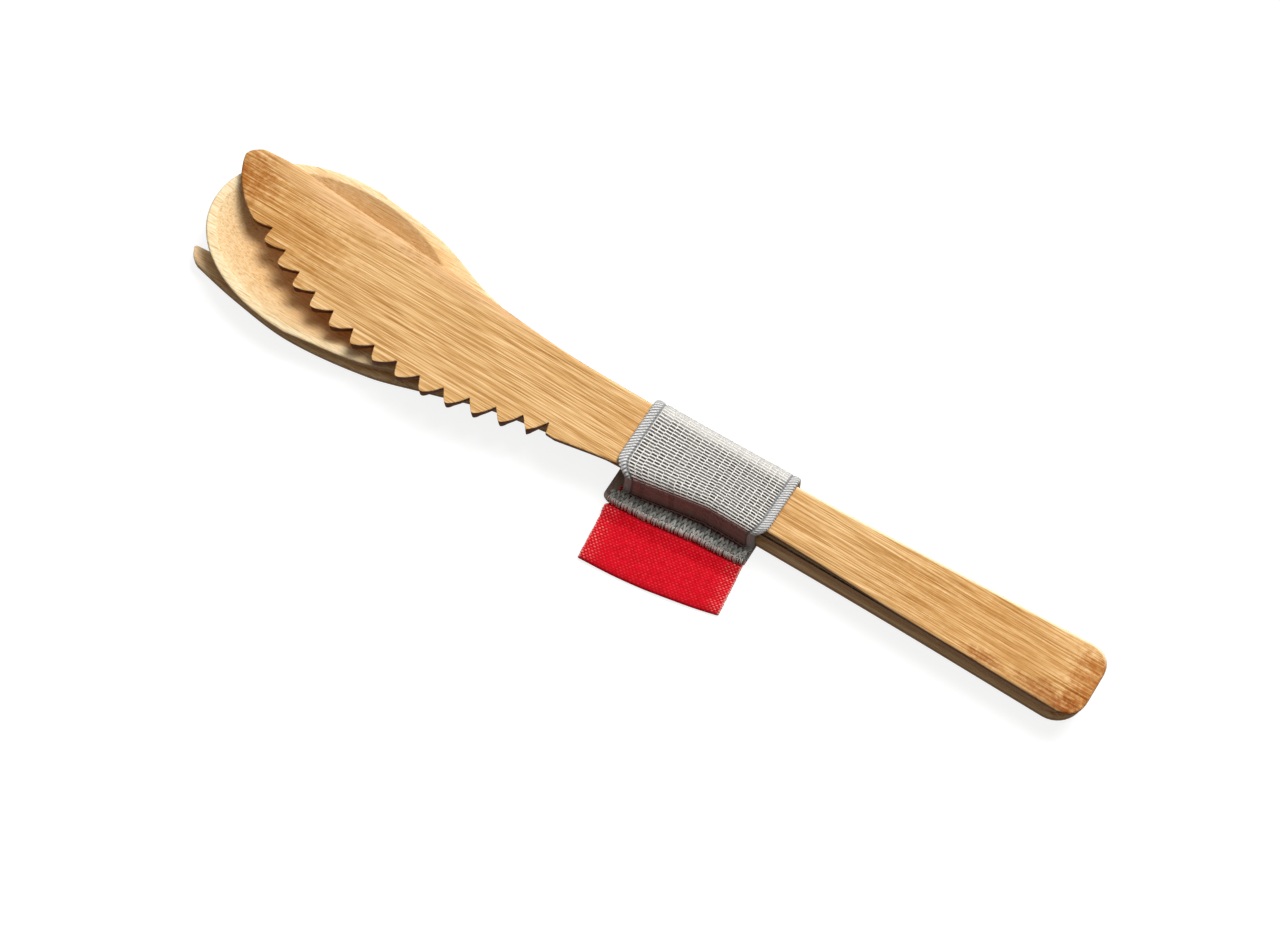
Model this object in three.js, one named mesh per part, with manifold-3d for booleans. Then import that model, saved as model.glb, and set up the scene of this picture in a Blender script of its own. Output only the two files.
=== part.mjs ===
// Wooden cutlery pack: knife, spoon and fork stacked handle on handle, held by one elastic
// band whose ends are sewn into a fin with a folded fabric label.
// Millimetres. X runs from the blade tip to the handle ends, Y across the pack, Z up.
import * as THREE from 'three';
import { mergeVertices } from 'three/addons/utils/BufferGeometryUtils.js';
import Module from 'manifold-3d';

// Driving dimensions: the stack
const clearance = 0.3; // between pieces that lie on each other
const utensilSkew = 1.29; // degrees, spoon and fork turned against the knife
const neckStation = 102; // where the strap starts, from the knife's tip
const waistStation = 134.5; // narrowest place of the handles, beside the strap
const gripStation = 164.5; // middle of the bare handles

// Driving dimensions: knife
const knifeLength = 205.5;
const knifeThickness = 3.2;
const knifeEdgeRadius = 1.2;
const frontCornerRise = 6.2; // blunt tip: its corner at the spine, above the axis
const frontCornerDrop = 3.9; // its corner at the teeth, below the axis
const frontCornerStation = 7.5;
const frontBendStation = 1.2; // the blunt end's curve bends towards this point
const frontBendRise = 0.5;
const spineBendStation = 0.8; // and the corner at the spine towards this one
const spineBendRise = 8.6;
const spineShoulderStation = 3.2;
const spineShoulderRise = 9.2;
const spineRise = 9.6; // spine above the axis, near the tip
const spineRiseStation = 10;
const spineFall = 8.5; // a quarter of the blade further
const spineFallStation = 25;
const spineMiddle = 6.4;
const spineMiddleStation = 57;
const spineWaist = 4.45; // where the toothed edge ends
const toothStartDrop = 7.5; // line of the tooth tips below the axis
const toothStartStation = 13.5;
const toothRunDrop = 13.3;
const toothRunStation = 25.4;
const toothBellyDrop = 17.0;
const toothBellyStation = 39.5;
const bladeDrop = 18.5; // deepest tooth tip
const bladeDropStation = 57.5;
const toothRiseDrop = 16.9;
const toothRiseStation = 70.5;
const heelDrop = 12.9; // end of the toothed edge
const heelStation = 86;
const neckDrop = 10.2;
const waistRise = 5.1;
const waistDrop = 6.4;
const gripRise = 6.5;
const gripDrop = 7.1;
const buttRise = 8.3;
const buttDrop = 7.5;
const buttRadius = 5;
const toothCount = 14;
const toothPhase = 0.87; // first notch, in pitches from the start of the toothed edge
const toothDepth = 2.8;
const toothAngle = 79; // degrees between the flanks of a notch
const toothLean = 14; // degrees that each notch leans to the tip

// Driving dimensions: spoon
const spoonLength = 205.3;
const spoonTipOverhang = 1.0; // past the knife's tip
const spoonTipSide = 3.5; // axis at the tip, on the near side of the knife's axis
const bowlHalfWidth = 18.4;
const bowlTipFlat = 1.3; // half-width that its round front starts with
const bowlRoundness = 2.1; // power of its round front: 2 is an ellipse
const bowlFront = 28.3; // bowl tip to the widest place
const bowlRear = 45.3; // where the bowl narrows
const bowlRearHalfWidth = 15.8;
const bowlHeel = 60;
const bowlHeelHalfWidth = 10.6;
const spoonThroat = 80; // where the bowl has run out into the handle
const spoonThroatHalfWidth = 6.6;
const spoonNeckHalfWidth = 5.6;
const spoonWaistHalfWidth = 5.8;
const spoonGripHalfWidth = 6.5;
const cavityHalfLength = 26.5;
const cavityHalfWidth = 16.7;
const cavityDepth = 4.4;
const rimTilt = 3.1; // degrees
const rimRise = 3.1; // tip of the rim above the handle
const rimRun = 57; // length in which the rim rises to the tip
const rimPower = 1.3; // how it rises: 1 is a straight line
const bowlWall = 2.0;
const bowlTipFlare = 6.2; // underside at the tip, above the fork
const bowlFlarePower = 2.4; // how it comes down from there: 1 is a straight line
const spoonHandleThickness = 3.0;

// Driving dimensions: fork
const forkLength = 205.7;
const forkTipOverhang = 0.7; // past the knife's tip
const forkTipSide = 4.2;
const headTipHalfWidth = 12.3;
const headShoulder = 13; // fork tip to where the outer tines swell
const headShoulderHalfWidth = 15.2;
const headStation = 28; // fork tip to the widest place
const headHalfWidth = 17.1;
const headRear = 46;
const headRearHalfWidth = 15.5;
const headHeel = 58;
const headHeelHalfWidth = 12.4;
const forkThroat = 74;
const forkThroatHalfWidth = 8.3;
const forkNeckHalfWidth = 5.7;
const forkWaistHalfWidth = 6.0;
const forkGripHalfWidth = 6.6;
const headThickness = 2.4;
const headDish = 1.4; // side edges above the belly
const tineRise = 1.0; // tine tips above the belly
const tineRiseShoulder = 0.35; // what is left of that at the outer tines' shoulder
const forkHandleThickness = 3.0;
const tineRound = 3; // how far the outer tines' corners are rounded
const slotWidth = 3.0;
const slotLength = 34;
const tineWidth = 3.6;
const slotSpread = 3.4; // degrees between one slot and the next
const slotMouth = 1.1; // how far each side of a slot flares at the tine tips
const slotMouthLength = 8;

// Driving dimensions: both handles' ends
const handleEndHalfWidth = 7.7;
const handleEndRadius = 6;
const handleEndFlat = 0.2; // what is left of the curve at the very end
const bellyPower = 2.2; // how undersides and the fork's dish curve: 2 is a parabola
const sideShare = 0.8; // most of a half-width that its half-round side takes

// Driving dimensions: elastic band, its sewn fin and label
const bandStart = 101.1; // knife's tip to the band's edge
const bandWidth = 33.5;
const strapThickness = 1.1;
const strapBend = 1.3; // inner radius where the strap turns round a piece
const tabBend = 0.7; // where it turns out into the fin
const sideInsetStart = 3.2; // the strap is drawn in where it drops to the fin
const sideInsetEnd = 1.8;
const shoulderShare = 1 / 3; // how much of that it has reached on its shoulder
const shoulderReach = 4; // where it starts to be drawn in, from the near side
const tabInsetStart = 1.2;
const tabInsetEnd = 2.0;
const underOverhang = 0.8; // its lower run stands out at the start
const ribPitch = 1.45;
const ribDepth = 0.14;
const ribGroove = 0.35;
const selvedge = 2.5;
const selvedgeBead = 2.0;
const finReach = 3.9;
const labelPly = 0.28;
const labelPlyGap = 0.2;
const labelWidth = 30;
const labelReach = 17.5; // from the inside of the fin to the fold
const labelTaper = 1.6; // how much less it is at the far corner
const labelInset = 0.8; // band's edge to the label's edge
const labelBow = 0.9; // how far the fold curves out at its middle
const labelSettle = 3.5; // length in which it sinks from the fin to the ground
const threadHeight = 0.4;
const threadRib = 0.18;
const threadPitch = 1.5;

const degrees = Math.PI / 180;

// Smooth curve through knots [x, value], as a function of x
function profile(knots) {
  const slope = knots.map(([x, value], i) => {
    const before = knots[Math.max(i - 1, 0)];
    const after = knots[Math.min(i + 1, knots.length - 1)];
    const turnsBack = (value - before[1]) * (after[1] - value) <= 0 && x > before[0] && x < after[0];
    return turnsBack ? 0 : (after[1] - before[1]) / (after[0] - before[0]);
  });
  return (x) => {
    if (x <= knots[0][0]) return knots[0][1];
    const last = knots.length - 1;
    if (x >= knots[last][0]) return knots[last][1];
    const i = knots.findIndex((knot) => knot[0] > x) - 1;
    const span = knots[i + 1][0] - knots[i][0];
    const t = (x - knots[i][0]) / span;
    const fall = (1 - t) * (1 - t);
    const rise = t * t;
    return knots[i][1] * fall * (1 + 2 * t) + slope[i] * span * t * fall
      + knots[i + 1][1] * rise * (3 - 2 * t) - slope[i + 1] * span * rise * (1 - t);
  };
}

// Places from a to b that crowd towards both ends, for rounded ends
function crowdedSteps(a, b, count) {
  return Array.from({ length: count + 1 }, (_, i) => {
    const t = i / count;
    const eased = (1 - Math.cos(Math.PI * t)) / 2;
    return a + (b - a) * (0.25 * t + 0.75 * eased);
  });
}

// Triangles across a ring of [x, y, z] points, each turned to face +X
function capTriangles(ring) {
  const outline = ring.map(([, y, z]) => new THREE.Vector2(y, z));
  return THREE.ShapeUtils.triangulateShape(outline, []).map(([a, b, c]) => {
    const ab = outline[b].clone().sub(outline[a]);
    const ac = outline[c].clone().sub(outline[a]);
    return ab.cross(ac) > 0 ? [a, b, c] : [a, c, b];
  });
}

// Closed body through rings of [x, y, z] points, counterclockwise seen from +X
function loft(rings) {
  const count = rings[0].length;
  const positions = rings.flat(2);
  const faces = [];
  for (let r = 0; r < rings.length - 1; r++) {
    for (let i = 0; i < count; i++) {
      const a = r * count + i;
      const b = r * count + ((i + 1) % count);
      faces.push(a, b, b + count, a, b + count, a + count);
    }
  }
  const lastRing = (rings.length - 1) * count;
  for (const [a, b, c] of capTriangles(rings[0])) faces.push(a, c, b);
  for (const [a, b, c] of capTriangles(rings[rings.length - 1])) {
    faces.push(a + lastRing, b + lastRing, c + lastRing);
  }
  const geometry = new THREE.BufferGeometry();
  geometry.setAttribute('position', new THREE.Float32BufferAttribute(positions, 3));
  geometry.setIndex(faces);
  return geometry;
}

const wasm = await Module();
wasm.setup();

function toSolid(geometry) {
  const bare = geometry.clone();
  bare.deleteAttribute('normal');
  bare.deleteAttribute('uv');
  const merged = mergeVertices(bare, 1e-4);
  return new wasm.Manifold(new wasm.Mesh({
    numProp: 3,
    vertProperties: new Float32Array(merged.attributes.position.array),
    triVerts: new Uint32Array(merged.index.array),
  }));
}

function toGeometry(solid) {
  const mesh = solid.getMesh();
  const geometry = new THREE.BufferGeometry();
  geometry.setAttribute('position', new THREE.BufferAttribute(mesh.vertProperties, 3));
  geometry.setIndex(new THREE.BufferAttribute(mesh.triVerts, 1));
  geometry.computeVertexNormals();
  return geometry;
}

function cut(geometry, cutters) {
  const result = cutters.reduce((solid, cutter) => solid.subtract(toSolid(cutter)), toSolid(geometry));
  return toGeometry(result);
}

// Knife, flat on z = 0 with its tip at x = 0: upper and lower edge of its plan
const knifeShoulder = knifeLength - buttRadius;
const spine = profile([
  [spineShoulderStation, spineShoulderRise],
  [spineRiseStation, spineRise],
  [spineFallStation, spineFall],
  [spineMiddleStation, spineMiddle],
  [heelStation, spineWaist],
  [waistStation, waistRise],
  [gripStation, gripRise],
  [knifeShoulder, buttRise],
]);
const toothLine = new THREE.SplineCurve([
  new THREE.Vector2(frontCornerStation, -frontCornerDrop),
  new THREE.Vector2(toothStartStation, -toothStartDrop),
  new THREE.Vector2(toothRunStation, -toothRunDrop),
  new THREE.Vector2(toothBellyStation, -toothBellyDrop),
  new THREE.Vector2(bladeDropStation, -bladeDrop),
  new THREE.Vector2(toothRiseStation, -toothRiseDrop),
  new THREE.Vector2(heelStation, -heelDrop),
]);
const knifeUnderEdge = profile([
  [heelStation, -heelDrop],
  [neckStation, -neckDrop],
  [waistStation, -waistDrop],
  [gripStation, -gripDrop],
  [knifeShoulder, -buttDrop],
]);

function knifeOutline() {
  const outline = new THREE.Shape();
  const toothSteps = 36;
  const handleSteps = 12;
  const spineSteps = 22;
  outline.moveTo(0, frontCornerRise);
  outline.quadraticCurveTo(frontBendStation, frontBendRise, frontCornerStation, -frontCornerDrop);
  for (const point of toothLine.getPoints(toothSteps).slice(1)) outline.lineTo(point.x, point.y);
  for (let i = 1; i <= handleSteps; i++) {
    const x = heelStation + (knifeShoulder - heelStation) * i / handleSteps;
    outline.lineTo(x, knifeUnderEdge(x));
  }
  outline.quadraticCurveTo(knifeLength, -buttDrop, knifeLength, buttRadius - buttDrop);
  outline.lineTo(knifeLength, buttRise - buttRadius);
  outline.quadraticCurveTo(knifeLength, buttRise, knifeShoulder, buttRise);
  for (let i = 1; i <= spineSteps; i++) {
    const x = knifeShoulder + (spineShoulderStation - knifeShoulder) * i / spineSteps;
    outline.lineTo(x, spine(x));
  }
  outline.quadraticCurveTo(spineBendStation, spineBendRise, 0, frontCornerRise);
  return outline;
}

// One notch of the toothed edge: a wedge whose flanks meet toothDepth inside the edge
function notchCutter(index) {
  const leading = Math.tan((toothAngle / 2 + toothLean) * degrees);
  const trailing = Math.tan((toothAngle / 2 - toothLean) * degrees);
  const apexShift = toothDepth * (leading - trailing) / 2 / toothLine.getLength();
  const along = Math.min((index + toothPhase) / toothCount + apexShift, 1);
  const place = toothLine.getPointAt(along);
  const tangent = toothLine.getTangentAt(along);
  const opening = 2 * toothDepth;
  const wedge = new THREE.Shape();
  wedge.moveTo(0, 0);
  wedge.lineTo(-opening * leading, -opening);
  wedge.lineTo(opening * trailing, -opening);
  const geometry = new THREE.ExtrudeGeometry(wedge, { depth: 3 * knifeThickness, bevelEnabled: false });
  geometry.translate(0, 0, -knifeThickness);
  geometry.rotateZ(Math.atan2(tangent.y, tangent.x));
  geometry.translate(place.x - tangent.y * toothDepth, place.y + tangent.x * toothDepth, 0);
  return geometry;
}

function knifeGeometry() {
  const blank = new THREE.ExtrudeGeometry(knifeOutline(), {
    depth: knifeThickness - 2 * knifeEdgeRadius,
    bevelSize: knifeEdgeRadius,
    bevelThickness: knifeEdgeRadius,
    bevelOffset: -knifeEdgeRadius,
    bevelSegments: 3,
    curveSegments: 6,
  });
  blank.translate(0, 0, knifeEdgeRadius);
  const notches = Array.from({ length: toothCount }, (_, i) => notchCutter(i));
  return cut(blank, notches);
}

// Rounded end of a handle: half-width at a distance from the end
function endTaper(halfWidth, distance) {
  if (distance >= handleEndRadius) return halfWidth;
  const reach = handleEndRadius - distance;
  const side = Math.max(handleEndRadius ** 2 - reach ** 2, handleEndFlat ** 2);
  return halfWidth - handleEndRadius + Math.sqrt(side);
}

// Section of a utensil: half-round sides, flat top, an underside that sinks to its keel
function utensilRing(x, halfWidth, top, edge, keel, dish) {
  const radius = Math.min(edge / 2, halfWidth * sideShare);
  const inner = halfWidth - radius;
  const edgeBottom = top + dish - edge;
  const ring = [];
  const underSteps = 8;
  for (let i = 0; i <= underSteps; i++) {
    const v = -1 + 2 * i / underSteps;
    ring.push([x, inner * v, keel + (edgeBottom - keel) * Math.abs(v) ** bellyPower]);
  }
  const middle = top + dish - edge / 2;
  for (const angle of [-45, 0, 45]) {
    const side = radius * Math.cos(angle * degrees);
    ring.push([x, inner + side, middle + edge / 2 * Math.sin(angle * degrees)]);
  }
  const topSteps = 6;
  for (let i = 0; i <= topSteps; i++) {
    const v = 1 - 2 * i / topSteps;
    ring.push([x, inner * v, top + dish * Math.abs(v) ** bellyPower]);
  }
  for (const angle of [45, 0, -45]) {
    const side = radius * Math.cos(angle * degrees);
    ring.push([x, -inner - side, middle + edge / 2 * Math.sin(angle * degrees)]);
  }
  return ring;
}

// Fork, tip at x = 0, belly on z = 0: half-width, top and thickness along it
const forkTipX = -forkTipOverhang;
const forkWidths = profile([
  [0, headTipHalfWidth],
  [headShoulder, headShoulderHalfWidth],
  [headStation, headHalfWidth],
  [headRear, headRearHalfWidth],
  [headHeel, headHeelHalfWidth],
  [forkThroat, forkThroatHalfWidth],
  [neckStation - forkTipX, forkNeckHalfWidth],
  [waistStation - forkTipX, forkWaistHalfWidth],
  [gripStation - forkTipX, forkGripHalfWidth],
  [forkLength - handleEndRadius, handleEndHalfWidth],
]);
const forkHandleLift = clearance + strapThickness; // handle's underside above the belly
const forkEdge = profile([[headRear, headThickness], [forkThroat, forkHandleThickness]]);
const forkKeel = profile([
  [0, tineRise],
  [headShoulder, tineRiseShoulder],
  [headStation, 0],
  [headRear, 0],
  [forkThroat, forkHandleLift],
]);
const forkDish = profile([[0, headDish / 2], [headStation, headDish], [headRear, headDish], [forkThroat, 0]]);

function forkHalfWidth(x) {
  const fromTip = Math.min(x / tineRound, 1);
  const tipLoss = tineRound * (1 - Math.sqrt(1 - (1 - fromTip) ** 2));
  return endTaper(forkWidths(x) - tipLoss, forkLength - x);
}

// A slot between two tines: round root, straight sides, a flare between the tine tips
function slotCutter(index) {
  const half = slotWidth / 2;
  const beyond = 1;
  const mouthHalf = half + slotMouth * (1 + beyond / slotMouthLength);
  const slot = new THREE.Shape();
  slot.moveTo(-beyond, mouthHalf);
  slot.lineTo(-beyond, -mouthHalf);
  slot.lineTo(slotMouthLength, -half);
  slot.lineTo(slotLength - half, -half);
  slot.absarc(slotLength - half, 0, half, -Math.PI / 2, Math.PI / 2, false);
  slot.lineTo(slotMouthLength, half);
  const cutterHeight = 20;
  const options = { depth: cutterHeight, bevelEnabled: false, curveSegments: 6 };
  const geometry = new THREE.ExtrudeGeometry(slot, options);
  geometry.translate(0, 0, -cutterHeight / 2);
  geometry.rotateZ(index * slotSpread * degrees);
  geometry.translate(0, index * (tineWidth + slotWidth), 0);
  return geometry;
}

function forkGeometry() {
  const steps = 52;
  const rings = crowdedSteps(0, forkLength, steps).map((x) => utensilRing(
    x, forkHalfWidth(x), forkKeel(x) + forkEdge(x), forkEdge(x), forkKeel(x), forkDish(x),
  ));
  return cut(loft(rings), [-1, 0, 1].map(slotCutter));
}

// Spoon, tip at x = 0, in the fork's heights: it lies on the fork with the clearance
const spoonTipX = -spoonTipOverhang;
const forkTop = (x) => forkKeel(x + spoonTipX - forkTipX) + forkEdge(x + spoonTipX - forkTipX);
const spoonHandleUnderside = forkHandleLift + forkHandleThickness + clearance;
const spoonHandleTop = spoonHandleUnderside + spoonHandleThickness;
const spoonWidths = profile([
  [bowlFront, bowlHalfWidth],
  [bowlRear, bowlRearHalfWidth],
  [bowlHeel, bowlHeelHalfWidth],
  [spoonThroat, spoonThroatHalfWidth],
  [neckStation - spoonTipX, spoonNeckHalfWidth],
  [waistStation - spoonTipX, spoonWaistHalfWidth],
  [gripStation - spoonTipX, spoonGripHalfWidth],
  [spoonLength - handleEndRadius, handleEndHalfWidth],
]);
const spoonEdge = profile([[bowlFront, bowlWall], [spoonThroat, spoonHandleThickness]]);

function spoonHalfWidth(x) {
  if (x >= bowlFront) return endTaper(spoonWidths(x), spoonLength - x);
  const round = (1 - (1 - x / bowlFront) ** bowlRoundness) ** (1 / bowlRoundness);
  return Math.max(bowlHalfWidth * round, bowlTipFlat);
}

function spoonTop(x) {
  return spoonHandleTop + rimRise * Math.max(1 - x / rimRun, 0) ** rimPower;
}

function spoonKeel(x) {
  const flare = bowlTipFlare * Math.max(1 - x / bowlFront, 0) ** bowlFlarePower;
  return Math.min(forkTop(x) + clearance + flare, spoonTop(x) - spoonEdge(x));
}

// Cutter for the bowl: half an ellipsoid with straight walls above the rim
function bowlCutter() {
  const quarter = [];
  const steps = 8;
  const wallTop = 1.5; // in cavity depths above the rim
  for (let i = 0; i <= steps; i++) {
    const angle = Math.PI / 2 * i / steps;
    quarter.push(new THREE.Vector2(Math.sin(angle), -Math.cos(angle)));
  }
  quarter[0].x = 0;
  quarter.push(new THREE.Vector2(1, wallTop), new THREE.Vector2(0, wallTop));
  const geometry = new THREE.LatheGeometry(quarter, 40);
  geometry.rotateX(Math.PI / 2);
  geometry.scale(cavityHalfLength, cavityHalfWidth, cavityDepth);
  geometry.rotateY(rimTilt * degrees);
  geometry.translate(bowlFront, 0, spoonTop(bowlFront));
  return geometry;
}

function spoonGeometry() {
  const steps = 56;
  const rings = crowdedSteps(0, spoonLength, steps).map((x) => utensilRing(
    x, spoonHalfWidth(x), spoonTop(x), spoonEdge(x), spoonKeel(x), 0,
  ));
  return cut(loft(rings), [bowlCutter()]);
}

// The knife leans on the spoon's rim at the tip and on the spoon's handle end
const rimContact = spineShoulderStation;
const handleContact = spoonLength - spoonTipOverhang - handleEndRadius;
const frontHeight = spoonTop(rimContact - spoonTipX) + clearance;
const rearHeight = spoonHandleTop + clearance;
const knifeLean = Math.atan((frontHeight - rearHeight) / (handleContact - rimContact));
const knifeUnderside = (x) => rearHeight + (handleContact - x) * Math.tan(knifeLean);
const knifeTop = (x) => knifeUnderside(x) + knifeThickness / Math.cos(knifeLean);

// Sides of the three handles where the strap goes round them
const skewSlope = Math.tan(utensilSkew * degrees);
const spoonAxis = (x) => -spoonTipSide + (x - spoonTipX) * skewSlope;
const forkAxis = (x) => -forkTipSide + (x - forkTipX) * skewSlope;
const nearSide = (x) => Math.min(
  knifeUnderEdge(x),
  spoonAxis(x) - spoonWidths(x - spoonTipX),
  forkAxis(x) - forkWidths(x - forkTipX),
);
const farSide = (x) => Math.max(
  spine(x),
  spoonAxis(x) + spoonWidths(x - spoonTipX),
  forkAxis(x) + forkWidths(x - forkTipX),
);

// Heights in the fin: lower tab, label, upper tab, thread
const labelThickness = 2 * labelPly + labelPlyGap;
const labelHeight = strapThickness + clearance; // its underside
const tabHeight = labelHeight + labelThickness + clearance; // upper tab's underside

// Part of a circle from one direction to the next, as points round a centre
function turn(centreY, centreZ, radius, fromDegrees, toDegrees, steps = 3) {
  return Array.from({ length: steps + 1 }, (_, i) => {
    const angle = (fromDegrees + (toDegrees - fromDegrees) * i / steps) * degrees;
    return [centreY + radius * Math.cos(angle), centreZ + radius * Math.sin(angle)];
  });
}

// Section of the strap: out of the lower tab, under the fork, over the knife, upper tab, and
// back inside. Each run of it starts and ends at its own places along the pack.
function strapRing(offset, rib) {
  const outer = strapThickness + rib;
  const run = (startInset, endInset, section) => {
    const x = bandStart + startInset + offset * (1 - (startInset + endInset) / bandWidth);
    const near = nearSide(x) - clearance;
    const far = farSide(x) + clearance;
    const top = knifeTop(x) + clearance;
    const finEnd = near - strapThickness - finReach;
    return section(near, far, top, finEnd).map(([y, z]) => [x, y, z]);
  };
  const under = (section) => run(-underOverhang, tabInsetEnd, section);
  const over = (section) => run(0, 0, section);
  const side = (section) => run(sideInsetStart, sideInsetEnd, section);
  const shoulder = (section) => run(sideInsetStart * shoulderShare, sideInsetEnd * shoulderShare, section);
  const tab = (section) => run(tabInsetStart, tabInsetEnd, section);
  const bend = strapBend;
  return [
    ...under((near, far, top, finEnd) => [[finEnd, 0]]),
    ...under((near, far) => turn(far - bend, strapThickness + bend, bend + strapThickness, -90, 0)),
    ...over((near, far, top) => turn(far - bend, top - bend, bend + outer, 0, 90)),
    ...over((near, far, top) => [[near + shoulderReach, top + outer]]),
    ...shoulder((near, far, top) => turn(near + bend, top - bend, bend + outer, 90, 105, 1)),
    ...side((near, far, top) => turn(near + bend, top - bend, bend + outer, 150, 180)),
    ...side((near) => [[near - outer, tabHeight + outer + tabBend]]),
    ...tab((near) => [[near - outer - tabBend, tabHeight + outer]]),
    ...tab((near, far, top, finEnd) => [[finEnd, tabHeight + outer], [finEnd, tabHeight]]),
    ...tab((near) => [[near - tabBend, tabHeight]]),
    ...side((near) => [[near, tabHeight + tabBend]]),
    ...side((near, far, top) => turn(near + bend, top - bend, bend, 180, 150)),
    ...shoulder((near, far, top) => turn(near + bend, top - bend, bend, 105, 90, 1)),
    ...over((near, far, top) => [[near + shoulderReach, top]]),
    ...over((near, far, top) => turn(far - bend, top - bend, bend, 90, 0)),
    ...under((near, far) => turn(far - bend, strapThickness + bend, bend, 0, -90)),
    ...under((near, far, top, finEnd) => [[finEnd, strapThickness]]),
  ];
}

// Places across the strap with the height of its woven ribs and edge beads
function ribStations() {
  const first = selvedge + ribGroove;
  const last = bandWidth - selvedgeBead - ribGroove;
  const ribs = Math.max(Math.round((last - first) / ribPitch), 1);
  const stations = [[0, 0], [ribGroove, ribDepth], [selvedge - ribGroove, ribDepth], [selvedge, 0]];
  for (let i = 0; i <= 2 * ribs; i++) {
    stations.push([first + (last - first) * i / (2 * ribs), i % 2 ? ribDepth : 0]);
  }
  stations.push([bandWidth - selvedgeBead, 0], [bandWidth - selvedgeBead + ribGroove, ribDepth]);
  stations.push([bandWidth - ribGroove, ribDepth], [bandWidth, 0]);
  return stations;
}

function bandGeometry() {
  return loft(ribStations().map(([offset, rib]) => strapRing(offset, rib)));
}

// Label: one strip of two plies, folded at its outer end, in its own turned frame
function labelRing(x) {
  const across = 2 * x / labelWidth - 1;
  const reach = labelReach - labelTaper * x / labelWidth + labelBow * (1 - across ** 2);
  const finLength = strapThickness + finReach;
  const sink = labelHeight - clearance / 2;
  const layer = (y) => {
    const t = Math.min(Math.max((y - finLength) / labelSettle, 0), 1);
    return labelHeight - sink * t * t * (3 - 2 * t);
  };
  const ys = [0, finLength, finLength + labelSettle / 2, finLength + labelSettle, reach - labelThickness];
  const lower = ys.map((y) => [-y, layer(y)]);
  const at = (offset) => ([y, z]) => [y, z + offset];
  const outerTop = lower.map(at(labelThickness));
  const innerLow = lower.map(at(labelPly));
  const innerTop = lower.map(at(labelPly + labelPlyGap));
  const foldY = -reach + labelThickness / 2;
  const foldZ = layer(reach) + labelThickness / 2;
  const fold = turn(foldY, foldZ, labelThickness / 2, 135, 225);
  const foldInside = turn(foldY, foldZ, labelPlyGap / 2, 225, 135);
  const section = [
    ...outerTop,
    ...fold,
    ...lower.slice().reverse(),
    ...innerLow,
    ...foldInside,
    ...innerTop.slice().reverse(),
  ];
  return section.map(([y, z]) => [x, y, z]);
}

function labelGeometry() {
  const steps = 10;
  const xs = Array.from({ length: steps + 1 }, (_, i) => labelWidth * i / steps);
  return loft(xs.map(labelRing));
}

// Sewing thread along the fin: ribs over the upper tab that turn down over its end
function threadRing(x, rib) {
  const finEnd = nearSide(x) - clearance - strapThickness - finReach;
  const tabTop = tabHeight + strapThickness + ribDepth + clearance;
  const top = tabTop + threadHeight + rib;
  const inner = finEnd + finReach - ribDepth - tabBend;
  const outer = finEnd - clearance - threadHeight - rib;
  return [
    [x, inner, tabTop],
    [x, inner, top],
    [x, outer + threadHeight, top],
    [x, outer, top - threadHeight],
    [x, outer, tabHeight + clearance / 2],
    [x, finEnd - clearance, tabHeight + clearance / 2],
    [x, finEnd - clearance, tabTop],
  ];
}

function threadGeometry() {
  const length = bandWidth - tabInsetStart - tabInsetEnd;
  const steps = 2 * Math.round(length / threadPitch);
  const xs = Array.from({ length: steps + 1 }, (_, i) => bandStart + tabInsetStart + length * i / steps);
  return loft(xs.map((x, i) => threadRing(x, i % 2 ? threadRib : 0)));
}

// Materials
const wood = (color) => new THREE.MeshStandardMaterial({ color, roughness: 0.62, metalness: 0 });
const cloth = (color) => new THREE.MeshStandardMaterial({ color, roughness: 0.92, metalness: 0 });

function piece(name, geometry, material) {
  const mesh = new THREE.Mesh(geometry, material);
  mesh.name = name;
  return mesh;
}

const knife = piece('knife', knifeGeometry(), wood(0xd9a665));
knife.rotation.y = knifeLean;
knife.position.set(0, 0, knifeUnderside(0));

const spoon = piece('spoon', spoonGeometry(), wood(0xe6c48c));
spoon.rotation.z = utensilSkew * degrees;
spoon.position.set(spoonTipX, -spoonTipSide, 0);

const fork = piece('fork', forkGeometry(), wood(0xc99a5e));
fork.rotation.z = utensilSkew * degrees;
fork.position.set(forkTipX, -forkTipSide, 0);

const band = piece('elastic_band', bandGeometry(), cloth(0x8f8b88));

const labelStart = bandStart + labelInset;
const labelTurn = Math.atan((nearSide(labelStart + labelWidth) - nearSide(labelStart)) / labelWidth);
const label = piece('fabric_label', labelGeometry(), cloth(0xd40f22));
label.rotation.z = labelTurn;
label.position.set(labelStart, nearSide(labelStart) - clearance, 0);

const thread = piece('seam_thread', threadGeometry(), cloth(0x6a6a66));

// The pack stands on z = 0 with its outer box centred on the origin
const pack = new THREE.Group();
pack.add(knife, spoon, fork, band, label, thread);
pack.updateMatrixWorld(true);
const extent = new THREE.Box3().setFromObject(pack, true);
const centre = extent.getCenter(new THREE.Vector3());
pack.position.set(-centre.x, -centre.y, -extent.min.z);
pack.updateMatrixWorld(true);

export default pack;
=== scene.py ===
"""Looks of the wooden cutlery pack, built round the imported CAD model.

Shapes are worked out in millimetres in the pack's own frame: X from the knife's tip to the
handle ends, Y across, Z up from the ground. `place` turns them into the row frame's metres.
"""

import math
from functools import partialmethod

import bpy
import numpy as np
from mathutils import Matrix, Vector, geometry


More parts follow.
